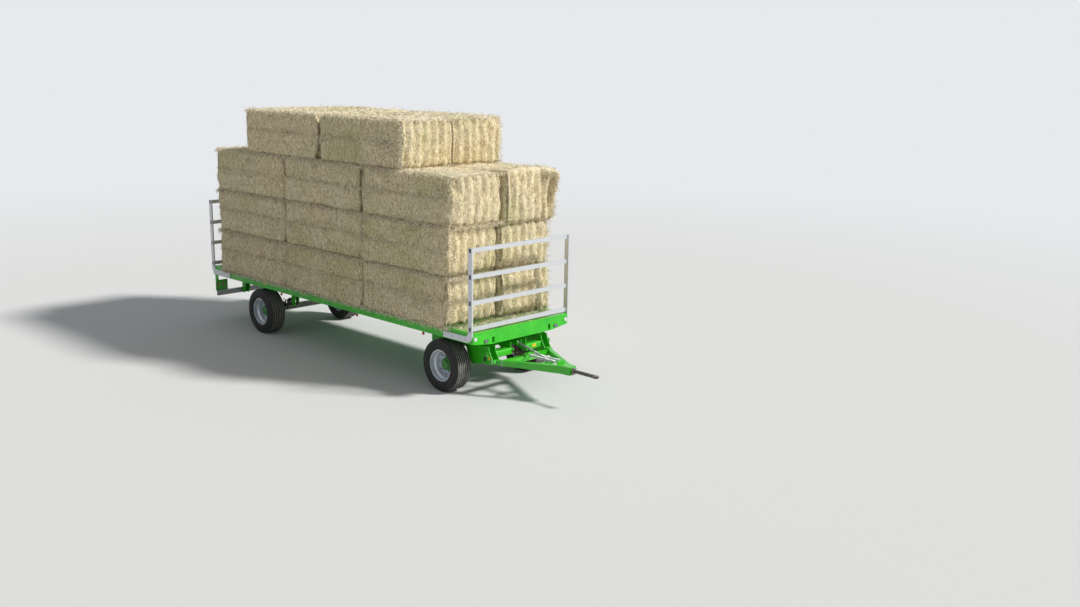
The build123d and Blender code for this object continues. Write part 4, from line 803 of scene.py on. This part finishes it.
def blades(roots, ways, length, widths, random):
    """Flat tapering stalks of two quads each, from their roots along their ways, drooping a little."""
    count = len(roots)
    width = random.uniform(*widths, (count, 1))
    ways = unit(ways)
    side = unit(np.cross(ways, random.normal(size=(count, 3))))
    length = length[:, None]
    droop = np.zeros((count, 3))
    droop[:, 2] = -STALK_DROOP * length[:, 0] * random.uniform(0.1, 1, count)
    bend = random.normal(scale=STALK_BEND, size=(count, 3)) * length
    middle = roots + ways * length * 0.55 + bend
    tip = roots + ways * length + droop
    half = side * width
    rows = [roots - half, roots + half, middle - half, middle + half, tip - half * 0.35, tip + half * 0.35]
    start = np.arange(count)[:, None] * STALK_POINTS
    return (np.stack(rows, axis=1).reshape(-1, 3),
            np.concatenate([start + [0, 1, 3, 2], start + [2, 3, 5, 4]]))


def in_sight(middle, normal, side, layer, above):
    """Which quads of a bale lie on the load's outside: its side, its ends and its open top."""
    x, y = middle[:, 0], middle[:, 1]
    outer = (normal[:, 1] * side > FACING) & (y * side > 1.0)
    ends = (normal[:, 0] > FACING) & (x > layer[1][0] - 0.12)
    ends |= (normal[:, 0] < -FACING) & (x < layer[0][0] + 0.12)
    top = (normal[:, 2] > FACING) & (np.abs(y) > SEAM_CLEAR)
    if above is not None:
        top &= (x < above[0][0] + 0.02) | (x > above[1][0] - 0.02)
    return outer | ends | top


def loose_stalks(points, side, layer, above, seed):
    """Stalks that lie on, or stick out of, the part of a bale that can be seen."""
    random = default_rng(seed)
    a, b, c, d = (points[GRID_QUADS[:, i]] for i in range(4))
    middle, cross = (a + b + c + d) / 4, np.cross(c - a, d - b) / 2
    area = np.linalg.norm(cross, axis=1)
    normal = cross / np.maximum(area, 1e-9)[:, None]
    keep = in_sight(middle, normal, side, layer, above)
    middle, normal, area = middle[keep], normal[keep], area[keep]
    count = int(area.sum() * STRAW_PER_SQUARE_METRE)
    pick = random.choice(len(area), count, p=area / area.sum())
    normal = normal[pick]
    roots = middle[pick] + random.uniform(-0.02, 0.02, (count, 3)) - normal * 0.004
    flat = random.normal(size=(count, 3))
    flat[np.abs(normal[:, 2]) < 0.6] *= (0.75, 0.75, 1.25)
    flat -= normal * (flat * normal).sum(axis=1, keepdims=True)
    ways = unit(flat) + normal * random.gamma(1.6, 0.12, count)[:, None]
    length = random.uniform(0.04, 0.13, count)
    return blades(roots, ways, length, (0.0016, 0.0036), random)


def fringe(start, end, way, seed, spread=0.5, reach=(0.04, 0.13), per_metre=FRINGE_PER_METRE):
    """Stalks that hang from one straight edge."""
    start, end = np.array(start), np.array(end)
    random = default_rng(seed)
    count = int(np.linalg.norm(end - start) * per_metre)
    share = random.uniform(0, 1, (count, 1))
    roots = start + (end - start) * share + random.normal(scale=0.012, size=(count, 3))
    ways = np.array(way) + random.normal(scale=spread, size=(count, 3))
    length = random.uniform(*reach, count)
    return blades(roots, ways, length, (0.0016, 0.0034), random)


def slid(part, start, slide):
    """The stalks of one fringe, those ahead of a place moved with the bale that they hang on."""
    points, faces = part
    ahead = np.repeat(points[::STALK_POINTS, 0] > start, STALK_POINTS)
    return points + np.outer(ahead, slide), faces


def ragged_ends(bale, corner, far, seed):
    """Stalks at the missing corner of the torn bale, or at the front corner of the loose one."""
    if bale == TORN_BALE:
        foot = np.array((far[0] - 0.02, corner[1] + 0.03, far[2] - BITE_DROP - 0.10))
        return [fringe(foot, foot - (0, 0, 0.15), (0.35, -0.8, 0.15), seed + 63, 0.45, (0.06, 0.15),
                       TORN_PER_METRE)]
    if bale == LOOSE_BALE:
        tip = np.array((far[0] + 0.07, far[1] - 0.03, far[2] - 0.14))
        return [fringe(tip, tip + back, (0.9, 0.2, 0.1), seed + 61, 0.7, (0.04, 0.11), TUFT_PER_METRE)
                for back in ((-0.40, 0.02, 0.10), (-0.02, -0.35, 0.10), (-0.06, 0, -0.34))]
    return []


def side_fringes(low, high, side, level):
    """Stalks that hang from the edges of a layer's side and from the fold along its middle, and wisps."""
    mirror = np.array((1, side, 1))
    (x0, _, z0), (x1, y, z1) = low, high
    y += 0.004
    x, fold = x1 - 0.012, (z0 + z1) / 2 + 0.03
    edge, front, seam = (0.5, (0.04, 0.13)), (0.55, (0.04, 0.12)), (0.8, (0.03, 0.09))
    rows = (
        ((x0 + 0.03, y, z0 + 0.012), (x1 - 0.03, y, z0 + 0.012), (0, 0.5, -1), 900, edge),
        ((x0 + 0.03, y, z1 - 0.012), (x1 - 0.03, y, z1 - 0.012), (0, 0.5, -0.5), 900, edge),
        ((x, y - 0.02, z0 + 0.03), (x, y - 0.02, z1 - 0.03), (0.45, 0.6, -0.35), 930, front),
        ((x0 + 0.05, y, fold), (x1 - 0.05, y, fold), (0.3, 0.4, -0.6), 970, seam),
    )
    stalks = [fringe(mirror * start, mirror * end, mirror * way, seed + level * 10 + side, *kind)
              for start, end, way, seed, kind in rows]
    random = default_rng(800 + level * 10 + side)
    for wisp in range(WISPS_PER_SIDE):
        root = np.array((random.uniform(x0 + 0.1, x1 - 0.1), side * y,
                         random.choice((z1 - 0.01, fold)) - random.gamma(1.0, 0.06)))
        run = (random.uniform(0.03, 0.09), 0, random.uniform(-0.03, 0.03))
        stalks.append(fringe(root, root + run, (random.normal() * 0.3, side * 0.25, -0.8),
                             820 + level * 100 + side * 50 + wisp, 0.35, (0.06, 0.19), WISP_PER_METRE))
    return stalks


def end_fringes(low, high, level):
    """Stalks that hang from the upper and lower edges of a layer's ends."""
    stalks = []
    for end, x in ((-1, low[0]), (1, high[0])):
        for z in (low[2] + 0.015, high[2] - 0.012):
            ends = ((x, low[1] + 0.03, z), (x, high[1] - 0.03, z))
            stalks.append(fringe(*ends, (end * 0.6, 0, -0.5), 950 + level * 10 + end, reach=(0.03, 0.10)))
    return stalks


def rail_fringes(low, high):
    """Stalks that hang over the side rails."""
    z, half = low[2] - 0.004, DECK_EDGE + OVERHANG + 0.012
    return [fringe((low[0] + 0.03, side * half, z), (high[0] - 0.03, side * half, z), (0, side * 0.10, -1),
                   990 + side, 0.40, (0.02, 0.075)) for side in SIDES]


def deck_chaff(low, high):
    """Loose stalks on the free deck in front of the load and behind it."""
    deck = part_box("deck_plate")[1][2]
    front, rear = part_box("front_beam")[1][0] - 0.012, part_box("rear_beam")[0][0] + 0.012
    parts = []
    for x0, x1, foot in ((high[0] + 0.01, front, high[0]), (rear, low[0] - 0.01, low[0])):
        random = default_rng(int(1000 + foot * 10))
        count = int((x1 - x0) * 2 * CHAFF_HALF_WIDTH * CHAFF_PER_SQUARE_METRE)
        share = random.beta(1.0, 2.2, count)
        x = x0 + (x1 - x0) * (share if foot < x0 + 0.02 else 1 - share)
        y = random.uniform(-CHAFF_HALF_WIDTH, CHAFF_HALF_WIDTH, count)
        roots = np.column_stack([x, y, deck + 0.003 + random.gamma(1.5, 0.003, count)])
        ways = random.normal(size=(count, 3)) * (1, 1, 0.06)
        room = 0.9 * np.abs(DECK_HALF_WIDTH - np.abs(y)) + 0.02
        length = np.minimum(random.uniform(0.02, 0.11, count), room)
        points, faces = blades(roots, ways, length, (0.0014, 0.0032), random)
        points[:, 2] = np.maximum(points[:, 2], deck + 0.0015)
        parts.append((points, faces))
    return parts


def make_hay():
    """All bales of the load, with their strings and loose stalks."""
    boxes = [np.array(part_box(node)) for node in LAYERS] + [None]
    strings = []
    for level, node in enumerate(LAYERS):
        low, high = boxes[level]
        bales, stalks = [], []
        for number, (corner, far) in enumerate(node_bales(node)):
            bale, side, seed = (level, number), 1 if number % 2 else -1, 100 * level + 7 * number + 11
            move, far_move = BALE_MOVES.get(bale, (STILL, STILL))
            corner, far = corner + move, far + far_move
            if bale == LOOSE_BALE:
                loosened = corner[0]
            points = press_bale(corner, far, seed, side, bale)
            bales.append((points, GRID_QUADS))
            strings += bale_strings(corner, far)
            stalks.append(loose_stalks(points, side, boxes[level], boxes[level + 1], seed + 50))
            stalks += ragged_ends(bale, corner, far, seed)
        for side in SIDES:
            hanging = side_fringes(low, high, side, level)
            if level == LOOSE_BALE[0] and side > 0:
                hanging = [slid(part, loosened, LOOSE_SHIFT) for part in hanging]
            stalks += hanging
        stalks += end_fringes(low, high, level)
        piece = make_piece(node + "_pressed", bales, HAY)
        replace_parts(piece, node)
        make_piece(node + "_stalks", stalks, STRAW, smooth=False)
    make_piece("hanging_stalks", rail_fringes(*boxes[0]), STRAW, smooth=False)
    make_piece("bale_strings", strings, TWINE)
    make_piece("deck_chaff", deck_chaff(*boxes[0]), STRAW, smooth=False)


# Wheels

def tyre_half_profile(radius, half_width, seat, bead):
    """Radius and offset from the middle plane, from the tread's middle to the bead."""
    tread = TREAD_WIDTH / 2
    pitch = TREAD_WIDTH / (TREAD_GROOVES + 1)
    gap, floor = TREAD_GROOVE_WIDTH / 2, radius - TREAD_GROOVE_DEPTH
    points = [(radius, 0.0)]
    for i in range(TREAD_GROOVES // 2):
        y = (i + 0.5) * pitch
        points += [(radius, y - gap), (floor, y - gap * 0.6), (floor, y + gap * 0.6), (radius, y + gap)]
    start = tread + 0.006
    points += [(radius - 0.001, tread - 0.016), (radius - 0.005, tread - 0.004), (radius - 0.014, start)]
    points += [(radius * share, start + (half_width - start) * out) for share, out in TYRE_WALL]
    return points + [(seat + 0.022, bead + 0.002), (seat, bead)]


def make_tyre(place):
    """Road tyre with straight grooves all round and notched shoulders."""
    low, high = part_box(f"tyre_{place}")
    rim_low, rim_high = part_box(f"rim_{place}")
    middle = (low + high) / 2
    radius, half_width = (high[2] - low[2]) / 2, (high[1] - low[1]) / 2
    bead = (rim_high[1] - rim_low[1]) / 2 - BEAD_INSET
    half = tyre_half_profile(radius, half_width, radius * TYRE_SEAT, bead)
    profile = half + [(r, -y) for r, y in reversed(half[1:])]
    points = []
    for step in range(TYRE_STEPS):
        angle = tau * step / TYRE_STEPS
        for r, y in profile:
            shoulder = step % 3 == 0 and abs(y) > TREAD_WIDTH / 2 - 0.02 and r > radius * 0.95
            reach = r - SHOULDER_NOTCH * shoulder
            points.append((middle[0] + reach * cos(angle), middle[1] + y,
                           middle[2] + reach * sin(angle)))
    tyre = (points, skin(TYRE_STEPS, len(profile), closed=True))
    piece = make_piece(f"tyre_{place}_ribbed", [tyre], RUBBER, f"wheel_{place}")
    piece.data.materials.append(TREAD_WORN_AND_LIT)
    # The rib tops take the light grey tread rubber, partly road wear and partly painted highlight.
    rib = [min(a, b) > radius - 0.003 for (a, _), (b, _) in zip(profile, profile[1:] + profile[:1])]
    piece.data.polygons.foreach_set("material_index", [int(is_rib) for is_rib in rib] * TYRE_STEPS)
    piece.data.polygons.foreach_set("use_smooth", [not is_rib for is_rib in rib] * TYRE_STEPS)
    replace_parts(piece, f"tyre_{place}")


def make_wheel_trim(place):
    """Wheel nuts, hub cap screws and ring, valve and rim bead line."""
    low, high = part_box(f"rim_{place}")
    middle = (low + high) / 2
    side = 1 if middle[1] > 0 else -1
    out, body = (0, side, 0), f"wheel_{place}"

    def at(radius, angle, y):
        return (middle[0] + radius * cos(angle), side * y, middle[2] + radius * sin(angle))
    nuts = nut_circle(WHEEL_NUTS, lambda a: at(WHEEL_NUT_CIRCLE, a, DISC_FACE), out, WHEEL_NUT)
    screws = nut_circle(CAP_SCREWS, lambda a: at(CAP_SCREW_CIRCLE, a, HUB_SHOULDER), out, CAP_SCREW, 0)
    screws += [band(at(0, 0, HUB_TIP), out, 0.052, 0.044, 0.006), *nut(at(0, 0, HUB_TIP), out, CAP_NUT)]
    valve = [at(radius, VALVE_ANGLE, DISC_FACE + y) for radius, y in VALVE]
    outer_edge = max(high[1], -low[1])
    bead = band(at(0, 0, outer_edge - 0.004), out, 0.3075, 0.301, 0.007)
    make_piece(f"wheel_nuts_{place}", nuts, ZINC, body, smooth=False)
    make_piece(f"hub_screws_{place}", screws, GREEN_HUB, body, smooth=False)
    make_piece(f"valve_{place}", [tube(valve, (0.0055, 0.0042, 0.0058), 8)], BLACK_PLASTIC, body)
    make_piece(f"rim_lip_{place}", [bead], SILVER, body)


# Trim

def make_platform_trim():
    """Bolts of the gates' feet, black discs painted as the shade inside each bolt hole of the front beam, and
    fittings on the air tank.
    """
    for side, name in ((1, "left"), (-1, "right")):
        bolts = []
        for x in GATE_BOLTS_X:
            for end_x in (x, MIRROR_X - x):
                bolts += nut((end_x, side * GATE_FACE, GATE_BOLTS_Z), (0, side, 0), FOOT_BOLT, turn=x)
        make_piece(f"gate_foot_bolts_{name}", bolts, ZINC, smooth=False)
    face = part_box("front_beam")[1][0] - 0.006
    # Black discs stand for the shade inside each bolt hole of the front beam: painted shade.
    hole_shade = [turned([(0.0075, -0.001), (0.0075, 0.0006), (0.0062, 0.0009)], (face, side * y, z), AHEAD, 14)
             for y, z in BEAM_HOLES for side in SIDES]
    make_piece("front_beam_hole_shade", hole_shade, BLACK_PAINT, smooth=False)
    low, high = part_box("air_tank")
    fittings = nut(((low[0] + high[0]) / 2, 0.10, low[2] + 0.005), DOWN, DRAIN_PLUG)
    for y in TANK_UNIONS_Y:
        fittings += nut((high[0] - 0.006, y, TANK_Z), AHEAD, TANK_UNION)
    make_piece("tank_fittings", fittings, ZINC, smooth=False)


def make_front_lamp_trim():
    """Bezels of the front lamps, and the rims and screws of the front reflectors."""
    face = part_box("front_beam")[1][0] - 0.006
    low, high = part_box("front_lamps")
    y, z = high[1] - 0.052, (low[2] + high[2]) / 2
    bezels, rings = [], []
    for side in SIDES:
        path = [(face + 0.005, side * y + u, z + v) for u, v in rounded(0.112, 0.059, 0.0292, 9)]
        bezels.append(tube(path, 0.0048, 8, closed=True))
        for u in (-0.018, 0.018):
            bezels.append(band((face + 0.0165, side * y + u, z), AHEAD, 0.0150, 0.0118, 0.003))
        rings.append(band((face + 0.006, side * REFLECTOR_Y, REFLECTOR_Z), AHEAD, 0.0392, 0.0350, 0.009))
        rings += nut((face + 0.0095, side * REFLECTOR_Y, REFLECTOR_Z), AHEAD, REFLECTOR_SCREW)
    make_piece("front_lamp_bezels", bezels, BLACK_PLASTIC)
    make_piece("reflector_rims", rings, ALUMINIUM)


def make_tail_and_side_lamps():
    """Bezels of the tail lamps, and the round side marker lamps on their stems."""
    low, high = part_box("tail_lamps")
    z = (low[2] + high[2]) / 2
    bezels = []
    for side, inset in product(SIDES, (0.048, 0.180)):
        y = side * (high[1] - inset)
        bezels += [band((low[0] + 0.014, y, z), AHEAD, 0.0505, 0.0465, 0.014),
                   band((low[0] + 0.001, y, z), AHEAD, 0.024, 0.0205, 0.004)]
    make_piece("tail_lamp_bezels", bezels, BLACK_PLASTIC)
    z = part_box("side_marker_lamps")[0][2] + 0.010
    stems, lenses = [], []
    for x, side in product(SIDE_MARKS, SIDES):
        spot, out = (x, side * SIDE_MARK_Y, z), (0, side, 0)
        stems += [turned(MARK_BASE, spot, out, 24), turned(MARK_STEM, spot, UP, 12)]
        lenses.append(turned(MARK_LENS, spot, out, 24))
    piece = make_piece("side_lamp_stems", stems, BLACK_PLASTIC)
    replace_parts(piece, "side_marker_lamps")
    make_piece("side_lamp_lenses", lenses, SIDE_GLASS)


def make_axle_trim(body, x, name):
    """U-bolt nuts of both springs and the brake chambers' clamp bands."""
    bolts, bands = [], []
    for side in SIDES:
        for u, v in product((-U_BOLT_X, U_BOLT_X), (-U_BOLT_Y, U_BOLT_Y)):
            y = side * SPRING_Y + v
            bolts += nut((x + u, y, U_BOLT_LOW), DOWN, U_BOLT_NUT)
            bolts += nut((x + u, y, U_BOLT_HIGH), UP, U_BOLT_NUT[:2])
        y = side * CHAMBER_Y
        bands.append(band((x + 0.123, y, CHAMBER_Z), AHEAD, 0.0865, 0.0800, 0.018))
        bands += nut((x + 0.123, y, CHAMBER_Z + 0.0862), UP, CLAMP_NUT)
        for z in (-0.035, 0.035):
            bands += nut((x + 0.178, y, CHAMBER_Z + z), AHEAD, CHAMBER_NUT)
    make_piece(f"spring_nuts_{name}", bolts, ZINC, body, smooth=False)
    make_piece(f"chamber_bands_{name}", bands, ZINC, body, smooth=False)


def make_lift_springs():
    """Two coil springs with straight ends."""
    low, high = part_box("lift_springs")
    z = (low[2] + high[2]) / 2
    start, stop = high[0] - 0.710, high[0] - 0.060
    steps = SPRING_COILS * COIL_STEPS
    path = [(low[0], 0, 0), (start - 0.030, 0, 0), (start - 0.012, 0, 0.008)]
    for i in range(steps + 1):
        a = tau * i / COIL_STEPS
        along = start + (stop - start) * i / steps
        path.append((along, COIL_RADIUS * sin(a), COIL_RADIUS * cos(a)))
    path += [(stop + 0.012, 0, 0.008), (stop + 0.030, 0, 0), (high[0], 0, 0)]
    coils = [tube([(x, side * LIFT_SPRING_Y + u, z + v) for x, u, v in path], 0.0058, 8) for side in SIDES]
    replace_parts(make_piece("lift_spring_coils", coils, ZINC, "drawbar"), "lift_springs")


def make_rod_thread():
    """A fine coil along the support rod's threaded end."""
    rod_start, rod_end = np.array(ROD_START), np.array(ROD_END)
    ahead = (rod_end - rod_start) / np.linalg.norm(rod_end - rod_start)
    lift = np.cross(ahead, ACROSS)
    path = []
    for i in range(THREAD_TURNS * THREAD_STEPS + 1):
        a = tau * i / THREAD_STEPS
        path.append(rod_end - ahead * (0.040 + THREAD_PITCH * i / THREAD_STEPS)
                    + THREAD_RADIUS * (cos(a) * np.array(ACROSS) + sin(a) * lift))
    make_piece("rod_thread", [tube(path, 0.0018)], ZINC, "drawbar")


def make_drawbar_trim():
    """Hinge washers and linch pins, hooks on the arms, weld beads and the towing eye's bolts."""
    pins, hooks, welds = [], [], []
    for side in SIDES:
        pins.append(band((HINGE_X, side * 0.7800, HINGE_Z), ACROSS, 0.0330, 0.0203, 0.005))
        pins.append(tube([(HINGE_X, side * 0.7905, HINGE_Z + h) for h in (-0.031, -0.029, 0.029, 0.033)],
                         (0.003, 0.0042, 0.0042, 0.003), 8))
        pins.append(tube(hinge_ring(0.030, side * 0.7945, 28, side * 0.004), 0.0019, 6, closed=True))
        hooks.append(tube([(HOOK_X, side * (HOOK_Y + out), z) for out, z in HOOK_PATH], 0.0075, 8))
        hooks += nut((HOOK_X, side * (HOOK_Y + 0.021), HOOK_Z), (0, side, 0), HOOK_BOLT)
        for y in (SPRING_Y - BOSS_HALF, SPRING_Y + BOSS_HALF):
            welds.append(tube(hinge_ring(HINGE_WELD, side * y, 40), 0.0022, 6, closed=True))
    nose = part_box("drawbar_frame")[1][0] - 0.0235
    path = [(nose, u, DRAWBAR_Z + v) for u, v in rounded(0.194, 0.152, 0.020, 6)]
    uneven = 0.0042 + 0.0009 * np.sin(np.arange(len(path)) * 2.3)
    welds.append(tube(path, uneven, 8, closed=True))
    make_piece("drawbar_welds", welds, GREEN, "drawbar")
    make_piece("hinge_pin_trim", pins, ZINC, "drawbar")
    make_piece("arm_hooks", hooks, ZINC, "drawbar")
    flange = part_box("towing_eye")[0][0] + 0.024

    def at(a):
        return (flange, FLANGE_CIRCLE * cos(a), DRAWBAR_Z + FLANGE_CIRCLE * sin(a))
    bolts = nut_circle(FLANGE_BOLTS, at, AHEAD, FLANGE_BOLT)
    make_piece("eye_flange_bolts", bolts, ZINC, "drawbar", smooth=False)


def make_hinge_fins():
    """Short upright fins outboard of the hinge cheeks, each on a bolt with a spacer."""
    fins, bolts = [], []
    for side in SIDES:
        y = side * (FIN_Y - 0.004)
        fins.append(slab(FIN_OUTLINE[::-side], 0.008,
                         lambda u, v, h, y=y: (HINGE_X + u, y + h, HINGE_Z + v)))
        spacer = (FIN_BOLT_X, side * 0.776, FIN_BOLT_Z)
        fins.append(turned([(0.010, 0), (0.010, 0.048)], spacer, (0, side, 0), 14))
        bolts += nut((FIN_BOLT_X, side * (FIN_Y + 0.004), FIN_BOLT_Z), (0, side, 0), FIN_BOLT)
    make_piece("hinge_fins", fins, GREEN, "bogie", smooth=False)
    make_piece("hinge_fin_bolts", bolts, ZINC, "bogie", smooth=False)


def make_label(name, body, size, middle, ahead=False, material=LABEL, thickness=0.0008):
    """A blank label that faces right, or ahead."""
    x, y, z = middle

    def place(u, v, h):
        return (x + h, y + u, z + v) if ahead else (x + u, y - h, z + v)
    make_piece(name, [slab(rounded(*size), thickness, place)], material, body, smooth=False)


def make_labels():
    """Blank labels on the right side rail and on the bogie's nose and side, and a plate on the bogie's side
    whose black is painted shade.
    """
    make_label("blank_label_rail", "chassis", (0.100, 0.052, 0.006), (-3.27, -1.2452, 1.182))
    make_label("blank_label_nose", "bogie", (0.104, 0.060, 0.006), (NOSE_FACE, 0.40, 0.775), ahead=True)
    make_label("blank_label_side", "bogie", (0.056, 0.064, 0.006), (3.481, -BOGIE_SIDE, 0.727))
    # A plate painted black where the bogie's side lies in shade: painted shade.
    make_label("shade_plate_side", "bogie", (0.062, 0.084, 0.004), (3.364, -BOGIE_SIDE, 0.694),
               material=BLACK_PLASTIC, thickness=0.0012)


# Stage and camera

def make_stage():
    """A plain pale floor that fades into the backdrop's colour far away."""
    shader = Shader("floor", Roughness=0.9)
    shader.colour((*FLOOR, 1.0))
    away = shader.node("VectorMath", shader.place, operation="LENGTH").outputs["Value"]
    camera_ray = shader.node("LightPath").outputs["Is Camera Ray"]
    fade = shader.times(shader.span(away, *FLOOR_FADE), camera_ray)
    shader.show(fade, shader.surface.outputs[0], shader.glow("Emission", BACKDROP))
    corners = [(x * FLOOR_HALF, y * FLOOR_HALF, 0) for x, y in ((-1, -1), (1, -1), (1, 1), (-1, 1))]
    floor = make_piece("floor", [(corners, [(0, 1, 2, 3)])], shader.material, None, smooth=False)


def make_light():
    """One broad sun from the front left, and an even pale surrounding."""
    data = bpy.data.lights.new("sun", "SUN")
    data.energy = SUN_STRENGTH
    data.angle = radians(SUN_ANGLE)
    data.color = SUN_COLOUR
    sun = add_object("sun", data)
    sun.rotation_euler = Vector(SUN_FROM).to_track_quat("Z", "Y").to_euler()
    surrounding = bpy.data.worlds.new("surrounding")
    bpy.context.scene.world = surrounding
    world = Nodes(surrounding, "OutputWorld")
    rays = world.node("LightPath").outputs
    seen = rays["Is Camera Ray"]
    for kind in ("Is Glossy Ray", "Is Transmission Ray"):
        seen = world.calc("MAXIMUM", seen, rays[kind])
    world.show(seen, world.glow("Background", SKY_COLOUR, SKY_LIGHT), world.glow("Background", BACKDROP))


def make_camera():
    """The photograph's viewing angle and framing."""
    yaw, pitch, roll = (radians(a) for a in (CAMERA_YAW, CAMERA_PITCH, CAMERA_ROLL))
    turn = Matrix.Rotation(-yaw, 4, "Z") @ Matrix.Rotation(pi / 2 + pitch, 4, "X")
    data = bpy.data.cameras.new("camera")
    data.sensor_width = 36.0
    data.lens = CAMERA_LENS
    data.clip_end = 1000.0
    camera = add_object("camera", data)
    camera.matrix_world = Matrix.Translation(CAMERA_PLACE) @ turn @ Matrix.Rotation(roll, 4, "Z")
    bpy.context.scene.camera = camera


make_camera()
make_light()
make_stage()
finish_nodes()
make_hay()
for wheel in WHEELS:
    make_tyre(wheel)
    make_wheel_trim(wheel)
make_platform_trim()
make_front_lamp_trim()
make_tail_and_side_lamps()
for axle in AXLES:
    make_axle_trim(*axle)
make_lift_springs()
make_rod_thread()
make_drawbar_trim()
make_hinge_fins()
make_labels()

bpy.context.scene.view_settings.view_transform = "Standard"
